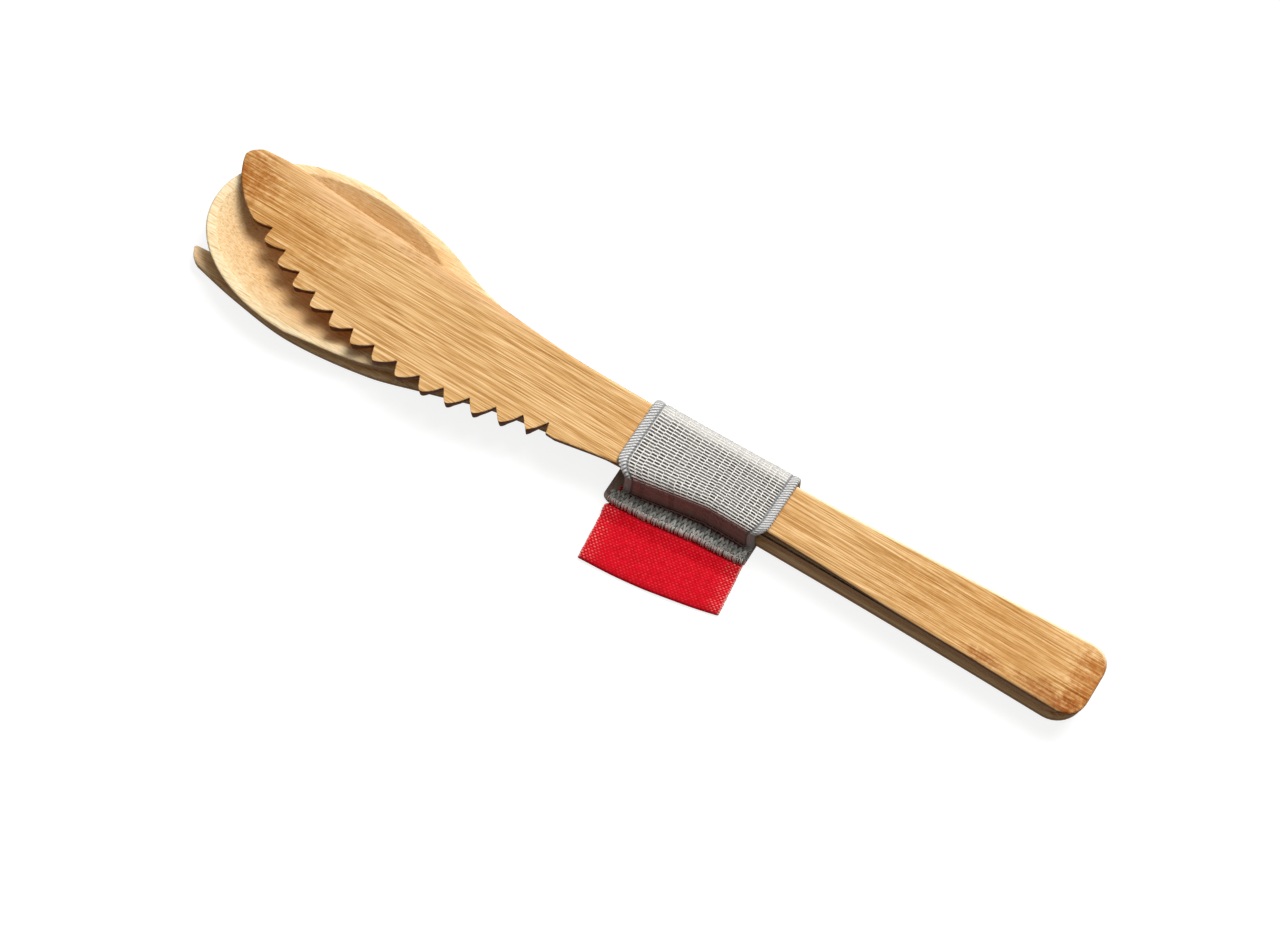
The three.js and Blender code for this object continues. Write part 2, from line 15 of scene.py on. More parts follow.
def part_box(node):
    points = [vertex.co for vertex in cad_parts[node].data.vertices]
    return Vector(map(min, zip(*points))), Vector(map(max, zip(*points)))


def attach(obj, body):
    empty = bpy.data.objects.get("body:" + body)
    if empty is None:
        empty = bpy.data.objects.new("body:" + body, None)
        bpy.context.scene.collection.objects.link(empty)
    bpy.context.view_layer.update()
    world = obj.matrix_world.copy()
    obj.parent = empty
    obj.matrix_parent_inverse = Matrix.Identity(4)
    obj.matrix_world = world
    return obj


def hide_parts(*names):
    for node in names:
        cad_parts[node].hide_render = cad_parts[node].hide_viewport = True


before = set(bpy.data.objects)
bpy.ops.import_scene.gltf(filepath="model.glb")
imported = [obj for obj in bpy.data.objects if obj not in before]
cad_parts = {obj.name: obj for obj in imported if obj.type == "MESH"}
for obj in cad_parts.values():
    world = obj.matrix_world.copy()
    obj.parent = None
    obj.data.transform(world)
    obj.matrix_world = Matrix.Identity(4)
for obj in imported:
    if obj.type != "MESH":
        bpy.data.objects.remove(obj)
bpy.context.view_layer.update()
rng = np.random.default_rng(7)

# Driving dimensions in millimetres, as in the CAD source
CLEARANCE = 0.3
SKEW = math.radians(1.29)  # spoon and fork turned against the knife
NECK, WAIST, GRIP = 102.0, 134.5, 164.5  # stations along the handles

KNIFE_LENGTH, KNIFE_THICKNESS = 205.5, 3.2
KNIFE_EDGE, SPINE_EDGE, TOOTH_EDGE = 0.5, 0.85, 0.26  # radii of the upper edge
KNIFE_UNDERCUT, TOOTH_UNDERCUT = 1.7, 0.8  # how much larger they are below
EDGE_EASE = 8  # points over which the radius changes at the toothed edge's ends
FRONT_CORNER, FRONT_DROP, FRONT_RISE = 7.5, 3.9, 6.2  # blunt tip, and its corner at the teeth
SPINE_SHOULDER, SPINE_START, HEEL = 3.2, 9.2, 86.0
FRONT_BEND, SPINE_BEND = (1.2, 0.5), (0.8, 8.6)  # where the tip's two curves bend to
BUTT_RISE, BUTT_DROP, BUTT_RADIUS = 8.3, 7.5, 5.0
SHOULDER = KNIFE_LENGTH - BUTT_RADIUS
TEETH, TOOTH_PHASE, TOOTH_DEPTH = 14, 0.87, 2.8
TOOTH_ANGLE, TOOTH_LEAN, TOOTH_BULGE = math.radians(79), math.radians(14), 0.35
TOOTH_CUTS = (0.9, 1.1, 0.25, 1.3)  # rounding of a notch's corners: tip, flank, root, next tip
HEEL_STEP = 0.4  # how far inside the edge the last notch ends

SPOON_LENGTH, SPOON_TIP, SPOON_SIDE = 205.3, -1.0, 3.5
BOWL_HALF_WIDTH, BOWL_FRONT, BOWL_ROUNDNESS = 18.4, 28.3, 2.1
CAVITY_LENGTH, CAVITY_WIDTH, CAVITY_DEPTH, CAVITY_POWER = 26.5, 16.7, 4.6, 2.9
RIM_RISE, RIM_RUN, RIM_POWER = 3.1, 57.0, 1.3
BOWL_FLARE, FLARE_POWER = 6.2, 2.4
SPOON_EDGE, FORK_EDGE = 0.45, 1.1  # radii of the edges
EDGE_SHARE = 0.49  # and the share of the thickness that they are kept under

FORK_LENGTH, FORK_TIP, FORK_SIDE = 205.7, -0.7, 4.2
TINE_ROUND, TINE_WIDTH = 3.0, 3.6
SLOT_WIDTH, SLOT_LENGTH, SLOT_SPREAD = 3.0, 34.0, math.radians(3.4)
SLOT_MOUTH, SLOT_MOUTH_LENGTH = 1.1, 8.0

HANDLE_THICKNESS, HANDLE_END, HANDLE_END_RADIUS, HANDLE_END_FLAT = 3.0, 7.7, 6.0, 1.4
BELLY_POWER = 2.2

BAND_START, BAND_WIDTH, STRAP = 101.1, 33.5, 1.1
STRAP_BEND, TAB_BEND = 1.3, 0.7
FIN_REACH, FIN_BOW = 3.9, 1.1
LABEL_PLY, LABEL_GAP, LABEL_WIDTH, LABEL_REACH = 0.28, 0.2, 30.0, 17.5
LABEL_TAPER, LABEL_INSET, LABEL_BOW, LABEL_SETTLE = 1.6, 0.8, 0.9, 3.5
LABEL_SHIFT, LABEL_SPREAD, LABEL_PINCH = -0.5, 1.03, 1.2
LABEL_THICKNESS = 2 * LABEL_PLY + LABEL_GAP
LABEL_HEIGHT = STRAP + CLEARANCE  # underside of the label in the fin
TAB_HEIGHT = LABEL_HEIGHT + LABEL_THICKNESS + CLEARANCE  # underside of the strap's upper end

# Weave of the elastic and of the label
RIB_PITCH, ROW_PITCH, ROW_LEAN = 1.45, 0.62, 0.16  # columns across the strap, rows along it
SELVEDGE, SELVEDGE_BEAD, GROOVE = 1.95, 1.8, 0.5
TWILL_PITCH, TWILL_LEAN = 0.6, 0.6
DOT_ROW, DOT_COLUMN, FRAY_PITCH = 0.5, 0.85, 0.55
RIBBON_PITCH, RIBBON_RELIEF = 0.72, 0.018
FOLD_SHADE = 1.1  # reach of the darker red at the label's fold

# Threads of the seam: pitch along the fin and radius
GROUND_PITCH, GROUND_THREAD = 0.42, 0.23
LOOP_PITCH, LOOP_THREAD = 1.05, 0.24
WHISKER_PITCH, WHISKER_THREAD = 0.36, 0.15
THREAD_SIDES, THREAD_STEP, TWIST_PITCH = 6, 0.4, 0.5

# Mesh: steps of a rounded edge, flat border inside it, points along an outline
EDGE_STEPS, SUPPORT, OUTLINE_POINTS = 6, 0.3, 230


def profile(*knots):
    """Smooth curve through (x, value) knots, flat where it turns back."""
    xs, values = np.array(knots, float).T
    last = len(xs) - 1
    slopes = np.zeros(len(xs))
    for i in range(len(xs)):
        a, b = max(i - 1, 0), min(i + 1, last)
        turns_back = a < i < b and (values[i] - values[a]) * (values[b] - values[i]) <= 0
        slopes[i] = 0 if turns_back else (values[b] - values[a]) / (xs[b] - xs[a])

    def at(x):
        x = np.clip(np.asarray(x, float), xs[0], xs[-1])
        i = np.clip(np.searchsorted(xs, x, side="right") - 1, 0, last - 1)
        span = xs[i + 1] - xs[i]
        t = (x - xs[i]) / span
        fall, rise = (1 - t) ** 2, t**2
        start = values[i] * fall * (1 + 2 * t) + slopes[i] * span * t * fall
        return start + values[i + 1] * rise * (3 - 2 * t) - slopes[i + 1] * span * rise * (1 - t)

    return at


def smooth(t):
    t = np.clip(t, 0, 1)
    return t * t * (3 - 2 * t)


def curve(points, steps):
    """Points on a Catmull-Rom curve through the given ones."""
    p = np.array(points, float)
    p = np.vstack([p[0], p, p[-1]])
    t = np.linspace(0, len(points) - 1, steps + 1)
    i = np.minimum(t.astype(int), len(points) - 2)
    w = (t - i)[:, None]
    p0, p1, p2, p3 = p[i], p[i + 1], p[i + 2], p[i + 3]
    v0, v1 = (p2 - p0) / 2, (p3 - p1) / 2
    return p1 + v0 * w + (3 * (p2 - p1) - 2 * v0 - v1) * w**2 + (2 * (p1 - p2) + v0 + v1) * w**3


def bezier(a, b, c, steps):
    """Points on a quadratic curve from a to c that bends towards b, without a itself."""
    t = np.linspace(0, 1, steps + 1)[1:, None]
    a, b, c = (np.array(q, float) for q in (a, b, c))
    return (1 - t) ** 2 * a + 2 * t * (1 - t) * b + t**2 * c


def run_length(line):
    """Length along a line up to each of its points."""
    return np.concatenate([[0], np.cumsum(np.hypot(*np.diff(line, axis=0).T))])


# Mesh code


def place(points):
    """Millimetres in the pack's frame to metres in the row frame."""
    return (np.asarray(points, float) + ORIGIN) / 1000


def scene_object(name, data):
    obj = bpy.data.objects.new(name, data)
    bpy.context.scene.collection.objects.link(obj)
    return obj


def mesh_object(name, points, faces, material, attributes, sharp):
    """A piece that rides on the root. Edges sharper than that angle stay hard."""
    mesh = bpy.data.meshes.new(name)
    mesh.from_pydata(place(points).tolist(), [], [list(map(int, f)) for f in faces])
    mesh.validate()
    mesh.polygons.foreach_set("use_smooth", np.ones(len(mesh.polygons), bool))
    for key, values in attributes.items():
        values = np.asarray(values, np.float32)
        kind = "FLOAT" if values.ndim == 1 else "FLOAT_VECTOR"
        layer = mesh.attributes.new(key, kind, "POINT")
        layer.data.foreach_set("value" if kind == "FLOAT" else "vector", values.ravel())
    mesh.set_sharp_from_angle(angle=math.radians(sharp))
    mesh.materials.append(material)
    obj = scene_object(name, mesh)
    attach(obj, "root")
    return obj


def ring_faces(start_a, start_b, count):
    """Quads between two closed rings of points."""
    i = np.arange(count)
    j = (i + 1) % count
    return np.stack([start_a + i, start_a + j, start_b + j, start_b + i], 1)


def inward(outline):
    """Inward normals of a counterclockwise outline, lengthened at its corners."""
    ahead = np.roll(outline, -1, 0) - outline
    ahead /= np.linalg.norm(ahead, axis=1)[:, None]
    behind = np.roll(ahead, 1, 0)
    normal = np.stack([-(ahead + behind)[:, 1], (ahead + behind)[:, 0]], 1)
    normal /= np.linalg.norm(normal, axis=1)[:, None]
    cosine = normal[:, 1] * ahead[:, 0] - normal[:, 0] * ahead[:, 1]
    return normal / np.maximum(cosine, 0.6)[:, None]


def inside(outline, points):
    """Which points lie within the outline, and how far each is from it."""
    a, b = outline, np.roll(outline, -1, 0)
    x, y = points[:, :1], points[:, 1:]
    crosses = (a[:, 1] > y) != (b[:, 1] > y)
    with np.errstate(divide="ignore", invalid="ignore"):
        at = (b[:, 0] - a[:, 0]) * (y - a[:, 1]) / (b[:, 1] - a[:, 1]) + a[:, 0]
    odd = (crosses & (x < at)).sum(1) % 2 == 1
    near = np.min(np.hypot(x - a[:, 0], y - a[:, 1]), axis=1)
    return odd, near


def cap(outline, spacing, extra=None):
    """Triangles over the outline with points inside it. Returns (points, triangles)."""
    low, high = outline.min(0), outline.max(0)
    xs = np.arange(low[0] + spacing / 2, high[0], spacing)
    ys = np.arange(low[1] + spacing / 2, high[1], spacing * 0.6)
    grid = np.stack(np.meshgrid(xs, ys), -1)
    grid[1::2, :, 0] += spacing / 2
    grid = grid.reshape(-1, 2)
    if extra is not None:
        rings, free_of_grid = extra
        grid = np.vstack([rings, grid[free_of_grid(grid)]])
    odd, near = inside(outline, grid)
    keep = odd & (near > (0.3 if extra is not None else spacing * 0.4))
    points = np.vstack([outline, grid[keep]])
    count = len(outline)
    edges = [(i, (i + 1) % count) for i in range(count)]
    made = geometry.delaunay_2d_cdt([Vector(p) for p in points], edges, [], 1, 1e-5, True)
    where = [ids[0] for ids in made[3]]
    triangles = np.array([[where[i] for i in face] for face in made[2]])
    within, _ = inside(outline, points[triangles].mean(1))
    return points, triangles[within].tolist()


def room(outline, normal, wanted):
    """Share of the wanted inset that each outline point has room for."""
    inset = wanted.copy()
    step = np.roll(outline, -1, 0) - outline
    for _ in range(40):
        moved = outline + normal * inset[:, None]
        apart = np.hypot(moved[:, :1] - outline[:, 0], moved[:, 1:] - outline[:, 1])
        turned_back = ((np.roll(moved, -1, 0) - moved) * step).sum(1) < 0.2 * (step**2).sum(1)
        tight = (apart.min(1) < 0.985 * inset) | turned_back | np.roll(turned_back, 1)
        if not tight.any():
            break
        inset[tight] *= 0.88
    share = inset / wanted
    for _ in range(3):
        lowest = np.minimum(share, np.minimum(np.roll(share, 1), np.roll(share, -1)))
        share = (lowest + np.roll(lowest, 1) + np.roll(lowest, -1)) / 3
    return share


def plate(outline, radius, low_radius, top, bottom, spacing, extra=None, deep=False,
          edge_tint=0.0):
    """Closed body of a plan outline between two surfaces, its edge rounded by radius above and
    low_radius below (one per outline point; deep lets the lower rounding take the whole side).

    Returns points, faces and two values per point: side, 1 on the near cut side and 0 on the
    faces, which carries the cut tone and the painted shade of the near sides, and edge, a
    painted highlight (above 0) or painted shade (below 0) on the rounded edge above."""
    count = len(outline)
    normal = inward(outline)
    share = room(outline, normal, np.maximum(radius, low_radius) + SUPPORT)
    radius, low_radius, support = radius * share, low_radius * share, SUPPORT * share
    # The near sides, which lie in shade, take the whole cut tone: painted shade there
    near = FAR_SIDE_SHARE + (1 - FAR_SIDE_SHARE) * smooth(0.5 + normal[:, 1])
    rings, sides, edges = [], [], []

    def ring(inset, z, side, edge):
        rings.append(np.column_stack([outline + normal * inset[:, None], z]))
        sides.append(near * side)
        edges.append(np.zeros(count) + edge)

    z_low = bottom(*(outline + normal * low_radius[:, None]).T)
    z_high = top(*(outline + normal * radius[:, None]).T)
    thick = (z_high - z_low) * 0.98  # leaves a little of the side upright
    low_z, high_z = (np.minimum(r, thick * r / (radius + low_radius)) for r in (low_radius, radius))
    if deep:
        low_z = thick - high_z
    for i in range(EDGE_STEPS + 1):
        angle = math.pi / 2 * i / EDGE_STEPS
        ring(low_radius * (1 - math.sin(angle)), z_low + low_z * (1 - math.cos(angle)),
             min(1, 0.3 + 2 * i / EDGE_STEPS), 0)
    for i in range(EDGE_STEPS + 1):
        angle = math.pi / 2 * (1 - i / EDGE_STEPS)
        ring(radius * (1 - math.sin(angle)), z_high - high_z * (1 - math.cos(angle)),
             max(0, 1 - 2.4 * i / EDGE_STEPS), edge_tint * math.sin(math.pi * i / EDGE_STEPS))
    points, sides, edges = np.vstack(rings), np.concatenate(sides), np.concatenate(edges)
    starts = np.arange(len(rings)) * count
    faces = [q for a, b in zip(starts, starts[1:]) for q in ring_faces(a, b, count)]
    closings = ((bottom, low_radius, 0, -1, None), (top, radius, starts[-1], 1, extra))
    for surface, edge, first, turn, more in closings:
        flat, triangles = cap(outline + normal * (edge + support)[:, None], spacing, more)
        start = len(points)
        points = np.vstack([points, np.column_stack([flat, surface(*flat.T)])])
        faces += [q[::turn] for q in ring_faces(first, start, count)]
        faces += [[start + i for i in t[::turn]] for t in triangles]
    flat_values = np.zeros(len(points) - len(sides))
    return points, faces, {
        "side": np.append(sides, flat_values), "edge": np.append(edges, flat_values)}


def turned(points, angle, x, y):
    """Points turned about Z and moved in the plan."""
    c, s = math.cos(angle), math.sin(angle)
    p = np.array(points, float)
    p[:, 0], p[:, 1] = p[:, 0] * c - p[:, 1] * s + x, p[:, 0] * s + p[:, 1] * c + y
    return p


def soften(points, reach):
    """Rounds the corners of an open line. reach is the cut on each side of a corner, which
    takes less than half of that side."""
    out = [points[0]]
    for i in range(1, len(points) - 1):
        p, q, r = points[i - 1], points[i], points[i + 1]
        before, after = np.linalg.norm(q - p), np.linalg.norm(r - q)
        a = q + (p - q) * min(reach[i] / before, 0.45)
        b = q + (r - q) * min(reach[i] / after, 0.45)
        out += [a, *bezier(a, q, b, 4)]
    return np.array([*out, points[-1]])


# Knife

spine = profile(
    (SPINE_SHOULDER, SPINE_START), (10, 9.6), (25, 8.5), (57, 6.4), (HEEL, 4.45),
    (WAIST, 5.1), (GRIP, 6.5), (SHOULDER, BUTT_RISE),
)
under_edge = profile(
    (HEEL, -12.9), (NECK, -10.2), (WAIST, -6.4), (GRIP, -7.1), (SHOULDER, -BUTT_DROP),
)
TOOTH_KNOTS = [
    (FRONT_CORNER, -FRONT_DROP), (13.5, -7.5), (25.4, -13.3), (39.5, -17.0), (57.5, -18.5),
    (70.5, -16.9), (HEEL, -12.9),
]


def toothed_edge():
    """Corners of the toothed edge from the front corner to the heel, with each one's cut."""
    line = curve(TOOTH_KNOTS, 1800)
    length = run_length(line)
    leading = math.tan(TOOTH_ANGLE / 2 + TOOTH_LEAN)
    trailing = math.tan(TOOTH_ANGLE / 2 - TOOTH_LEAN)
    shift = TOOTH_DEPTH * (leading - trailing) / 2
    corners = [line[0]]
    for tooth in range(TEETH):
        at = min((tooth + TOOTH_PHASE) / TEETH * length[-1] + shift, length[-1])
        i = min(np.searchsorted(length, at), len(line) - 2)
        along = line[i + 1] - line[i - 1]
        along /= np.linalg.norm(along)
        normal = np.array([-along[1], along[0]])
        apex = line[i] + normal * TOOTH_DEPTH
        local_x, local_y = (line - apex) @ along, -(line - apex) @ normal
        cut = (local_x > -leading * local_y) & (local_x < trailing * local_y)
        first, last = np.flatnonzero(cut)[[0, -1]]
        foot = line[last] if last < len(line) - 1 else line[-1] + normal * HEEL_STEP
        bulge = (line[first] + apex) / 2 - normal * TOOTH_BULGE
        corners += [line[first], bulge, apex, foot]
    return np.array(corners), [0, *TOOTH_CUTS * TEETH]


def knife_outline():
    """Outline of the knife, counterclockwise from its tip, and the edge's radius at each point."""
    corners, cuts = toothed_edge()
    teeth = soften(corners, cuts)
    front = bezier((0, FRONT_RISE), FRONT_BEND, corners[0], 20)
    handle_x = np.linspace(HEEL, SHOULDER, 60)[1:]
    spine_x = np.linspace(SHOULDER, SPINE_SHOULDER, 110)[1:]
    low, high = BUTT_RADIUS - BUTT_DROP, BUTT_RISE - BUTT_RADIUS
    outline = np.vstack([
        [(0, FRONT_RISE)], front[:-1], teeth,
        np.column_stack([handle_x, under_edge(handle_x)]),
        bezier((SHOULDER, -BUTT_DROP), (KNIFE_LENGTH, -BUTT_DROP), (KNIFE_LENGTH, low), 12),
        [(KNIFE_LENGTH, y) for y in np.linspace(low, high, 6)[1:]],
        bezier((KNIFE_LENGTH, high), (KNIFE_LENGTH, BUTT_RISE), (SHOULDER, BUTT_RISE), 12),
        np.column_stack([spine_x, spine(spine_x)]),
        bezier((SPINE_SHOULDER, SPINE_START), SPINE_BEND, (0, FRONT_RISE), 12)[:-1],
    ])
    radius = KNIFE_EDGE + (SPINE_EDGE - KNIFE_EDGE) * smooth((outline[:, 1] - 1) / 4)
    first, last = len(front), len(front) + len(teeth)
    radius[first:last] = TOOTH_EDGE
    for k in range(EDGE_EASE):
        share = smooth((k + 1) / (EDGE_EASE + 1))
        radius[first - EDGE_EASE + k] = KNIFE_EDGE + (TOOTH_EDGE - KNIFE_EDGE) * share
        radius[last + k] = TOOTH_EDGE + (KNIFE_EDGE - TOOTH_EDGE) * share
    return outline, radius


# Spoon and fork

FORK_LIFT = CLEARANCE + STRAP
SPOON_TOP = FORK_LIFT + HANDLE_THICKNESS + CLEARANCE + HANDLE_THICKNESS
fork_widths = profile(
    (0, 12.3), (13, 15.2), (28, 17.1), (46, 15.5), (58, 12.4), (74, 8.3),
    (NECK - FORK_TIP, 5.7), (WAIST - FORK_TIP, 6.0), (GRIP - FORK_TIP, 6.6),
    (FORK_LENGTH - HANDLE_END_RADIUS, HANDLE_END),
)
fork_edge = profile((46, 2.4), (74, HANDLE_THICKNESS))
fork_keel = profile((0, 1.0), (13, 0.35), (28, 0), (46, 0), (74, FORK_LIFT))
fork_dish = profile((0, 0.7), (28, 1.4), (46, 1.4), (74, 0))
spoon_widths = profile(
    (BOWL_FRONT, BOWL_HALF_WIDTH), (45.3, 15.8), (60, 10.6), (80, 6.6),
    (NECK - SPOON_TIP, 5.6), (WAIST - SPOON_TIP, 5.8), (GRIP - SPOON_TIP, 6.5),
    (SPOON_LENGTH - HANDLE_END_RADIUS, HANDLE_END),
)
spoon_edge = profile((BOWL_FRONT, 2.0), (80, HANDLE_THICKNESS))


def end_taper(half_width, distance):
    """Half-width of a handle near its rounded end."""
    reach = np.clip(HANDLE_END_RADIUS - distance, 0, HANDLE_END_RADIUS)
    return half_width - HANDLE_END_RADIUS + np.sqrt(HANDLE_END_RADIUS**2 - reach**2)


def spoon_half_width(x):
    front = 1 - np.clip(1 - x / BOWL_FRONT, 0, 1) ** BOWL_ROUNDNESS
    bowl = BOWL_HALF_WIDTH * np.maximum(front, 0) ** (1 / BOWL_ROUNDNESS)
    return np.where(x < BOWL_FRONT, bowl, end_taper(spoon_widths(x), SPOON_LENGTH - x))


def fork_half_width(x):
    from_tip = np.minimum(x / TINE_ROUND, 1)
    loss = TINE_ROUND * (1 - np.sqrt(1 - (1 - from_tip) ** 2))
    return end_taper(fork_widths(x) - loss, FORK_LENGTH - x)


def spoon_top(x):
    return SPOON_TOP + RIM_RISE * np.clip(1 - x / RIM_RUN, 0, 1.1) ** RIM_POWER


def spoon_keel(x):
    on_fork = x + SPOON_TIP - FORK_TIP
    flare = BOWL_FLARE * np.clip(1 - x / BOWL_FRONT, 0, 1) ** FLARE_POWER
    lying = fork_keel(on_fork) + fork_edge(on_fork) + CLEARANCE + flare
    return np.minimum(lying, spoon_top(x) - spoon_edge(x))


def share_across(y, half_width):
    return np.clip(np.abs(y) / np.maximum(half_width, 0.5), 0, 1.05) ** BELLY_POWER


def bowl_share(x, y):
    """0 in the middle of the bowl's hollow, 1 on its rim."""
    return np.hypot((x - BOWL_FRONT) / CAVITY_LENGTH, y / CAVITY_WIDTH)


def spoon_surface(x, y):
    return spoon_top(x) - CAVITY_DEPTH * (1 - np.clip(bowl_share(x, y), 0, 1) ** CAVITY_POWER)


def spoon_underside(x, y):
    keel, edge = spoon_keel(x), spoon_top(x) - spoon_edge(x)
    return keel + (edge - keel) * share_across(y, spoon_half_width(x) - spoon_edge(x) / 2)


def fork_surface(x, y):
    return fork_underside(x, y) + fork_edge(x)


def fork_underside(x, y):
    return fork_keel(x) + fork_dish(x) * share_across(y, fork_widths(x) - fork_edge(x) / 2)


def both_sides(width, length, start=0.0):
    """Near side, handle end and far side, with points evenly spaced along the line."""
    dense = length * (1 - np.cos(np.linspace(0, math.pi, 4000))) / 2
    run = run_length(np.column_stack([dense, width(dense)]))
    x = np.interp(np.linspace(0, run[-1], OUTLINE_POINTS), run, dense)
    x = x[x >= start]
    near = np.column_stack([x, -width(x)])
    end = [(length, y) for y in np.linspace(-HANDLE_END_FLAT, HANDLE_END_FLAT, 5)]
    return np.vstack([near, end, near[::-1] * (1, -1)])


def spoon_outline():
    return both_sides(spoon_half_width, SPOON_LENGTH)[:-1]


def fork_outline():
    """Sides, tips of the tines and slots, counterclockwise from the nearest tine."""
    half, mouth = SLOT_WIDTH / 2, SLOT_MOUTH_LENGTH
    tip_length, tip_width = 1.2, 0.7
    root = [(SLOT_LENGTH - half + half * math.cos(a), half * math.sin(a))
            for a in np.linspace(math.pi / 2, -math.pi / 2, 13)]
    flare = [(t, half + SLOT_MOUTH * (1 - t / mouth) ** 1.5)
             for t in np.linspace(tip_length, mouth, 8)]
    tip = [(tip_length * (1 - math.sin(a)),
            half + SLOT_MOUTH * 0.8 + tip_width * (1 - math.cos(a)))
           for a in np.linspace(math.pi / 2, 0.15, 6)]
    side = [(t, half) for t in np.linspace(mouth, SLOT_LENGTH - half, 22)[1:-1]]
    far = tip + flare + side
    slot = far + root + [(a, -b) for a, b in far[::-1]]
    slots = [turned(slot, i * SLOT_SPREAD, 0, i * (TINE_WIDTH + SLOT_WIDTH)) for i in (1, 0, -1)]
    return np.vstack([both_sides(fork_half_width, FORK_LENGTH, 0.02), *slots])


# Stack: where the pieces lie

skew_slope = math.tan(SKEW)
front_height = float(spoon_top(SPINE_SHOULDER - SPOON_TIP)) + CLEARANCE
rear_height = SPOON_TOP + CLEARANCE
handle_contact = SPOON_LENGTH + SPOON_TIP - HANDLE_END_RADIUS
LEAN = math.atan((front_height - rear_height) / (handle_contact - SPINE_SHOULDER))


def knife_underside(x):
    return rear_height + (handle_contact - x) * math.tan(LEAN)


def handle_edges(x, side):
    """Y of the spoon's and the fork's edge at station x; side is -1 near and 1 far."""
    lying = ((SPOON_TIP, SPOON_SIDE, spoon_widths), (FORK_TIP, FORK_SIDE, fork_widths))
    return [(x - tip) * skew_slope - shift + side * widths(x - tip) for tip, shift, widths in lying]


def near_side(x):
    return np.minimum.reduce([under_edge(x), *handle_edges(x, -1)])


def far_side(x):
    return np.maximum.reduce([spine(x), *handle_edges(x, 1)])


# The label's far corner and the band's far end give the pack's place in the row frame
LABEL_START = BAND_START + LABEL_INSET
label_rise = float(near_side(LABEL_START + LABEL_WIDTH) - near_side(LABEL_START))
LABEL_TURN = math.atan(label_rise / LABEL_WIDTH)
label_corner = float(near_side(LABEL_START)) - CLEARANCE + LABEL_WIDTH * math.sin(LABEL_TURN)
ORIGIN = np.array([
    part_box("elastic_band")[1].x * 1000 - BAND_START - BAND_WIDTH,
    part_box("fabric_label")[1].y * 1000 - label_corner,
    0.0,
])

# Node trees


class Signal:
    """A number in a node tree; arithmetic on it adds nodes."""

    def __init__(self, tree, socket):
        self.tree, self.socket = tree, socket

    def math(self, operation, *others):
        node = self.tree.nodes.new("ShaderNodeMath")
        node.operation = operation
        for i, value in enumerate((self, *others)):
            feed(self.tree, node.inputs[i], value)
        return Signal(self.tree, node.outputs[0])

    __add__ = partialmethod(math, "ADD")
    __sub__ = partialmethod(math, "SUBTRACT")
    __mul__ = partialmethod(math, "MULTIPLY")
    __truediv__ = partialmethod(math, "DIVIDE")
    fract = partialmethod(math, "FRACT")
    floor = partialmethod(math, "FLOOR")

    def away(self, centre):
        """Distance from a value."""
        return (self - centre).math("ABSOLUTE")

    def ramp(self, low, high, to_low=0.0, to_high=1.0):
        """Smooth step from low to high."""
        node = self.tree.nodes.new("ShaderNodeMapRange")
        node.interpolation_type = "SMOOTHSTEP"
        for i, value in enumerate((self, low, high, to_low, to_high)):
            feed(self.tree, node.inputs[i], value)
        return Signal(self.tree, node.outputs[0])


def feed(tree, socket, value):
    value = getattr(value, "socket", value)
    if isinstance(value, bpy.types.NodeSocket):
        tree.links.new(value, socket)
    else:
        socket.default_value = value


class Finish:
    """A procedural material with short names for the nodes it uses."""

    def __init__(self, name, specular, sheen=0.0):
        self.material = bpy.data.materials.new(name)
        self.material.use_nodes = True
        self.tree = self.material.node_tree
        self.shade({"Specular IOR Level": specular, "Sheen Weight": sheen})

    def shade(self, inputs):
        for key, value in inputs.items():
            feed(self.tree, self.tree.nodes["Principled BSDF"].inputs[key], value)

    def node(self, kind, **inputs):
        node = self.tree.nodes.new("ShaderNode" + kind)
        for key, value in inputs.items():
            feed(self.tree, node.inputs[key], value)
        return node

    def position(self):
        return self.node("TexCoord").outputs["Object"]

    def attribute(self, name, output="Fac"):
        node = self.node("Attribute")
        node.attribute_name = name
        return Signal(self.tree, node.outputs[output])

    def parts(self, vector):
        return [Signal(self.tree, s) for s in self.node("SeparateXYZ", Vector=vector).outputs]

    def vector(self, x, y, z):
        return self.node("CombineXYZ", X=x, Y=y, Z=z).outputs[0]

    def noise(self, vector, scale, detail, roughness=0.5, angle=0.0, offset=(0, 0, 0)):
        """Noise with a scale per metre for each axis, turned about Z and moved."""
        mapped = self.node("Mapping", Vector=vector, Rotation=(0, 0, angle), Scale=scale,
                           Location=offset)
        node = self.node("TexNoise", Vector=mapped.outputs[0], Scale=1.0, Detail=detail,
                         Roughness=roughness)
        return Signal(self.tree, node.outputs["Fac"])

    def random(self, x, y, z):
        """A random number for each cell."""
        node = self.node("TexWhiteNoise", Vector=self.vector(x, y, z))
        return Signal(self.tree, node.outputs["Value"])

    def colours(self, value, *stops):
        """Colour ramp of (place, sRGB colour) stops."""
        node = self.node("ValToRGB", Fac=value)
        elements = node.color_ramp.elements
        while len(elements) < len(stops):
            elements.new(0.5)
        for element, (at, colour) in zip(elements, stops):
            element.position = at
            element.color = (*linear(colour), 1)
        return node.outputs[0]

    def blend(self, factor, first, second, how="MIX"):
        """Mixes two colours, each an sRGB tuple or a socket."""
        node = self.node("Mix")
        node.data_type, node.blend_type = "RGBA", how
        feed(self.tree, node.inputs[0], factor)
        sockets = [s for s in node.inputs if s.type == "RGBA"]
        for socket, value in zip(sockets, (first, second)):
            feed(self.tree, socket, (*linear(value), 1) if isinstance(value, tuple) else value)
        return [s for s in node.outputs if s.type == "RGBA"][0]

    def made(self, colour, layers, roughness, height, distance, strength):
        """The material with its roughness and relief. Each layer lies over the colour before
        it and is (share, colour) or (share, colour, way of blending)."""
        for share, over, *how in layers:
            colour = self.blend(share, colour, over, *how)
        bump = self.node("Bump", Distance=distance, Strength=strength, Height=height)
        self.shade({"Base Color": colour, "Roughness": roughness, "Normal": bump.outputs[0]})
        return self.material


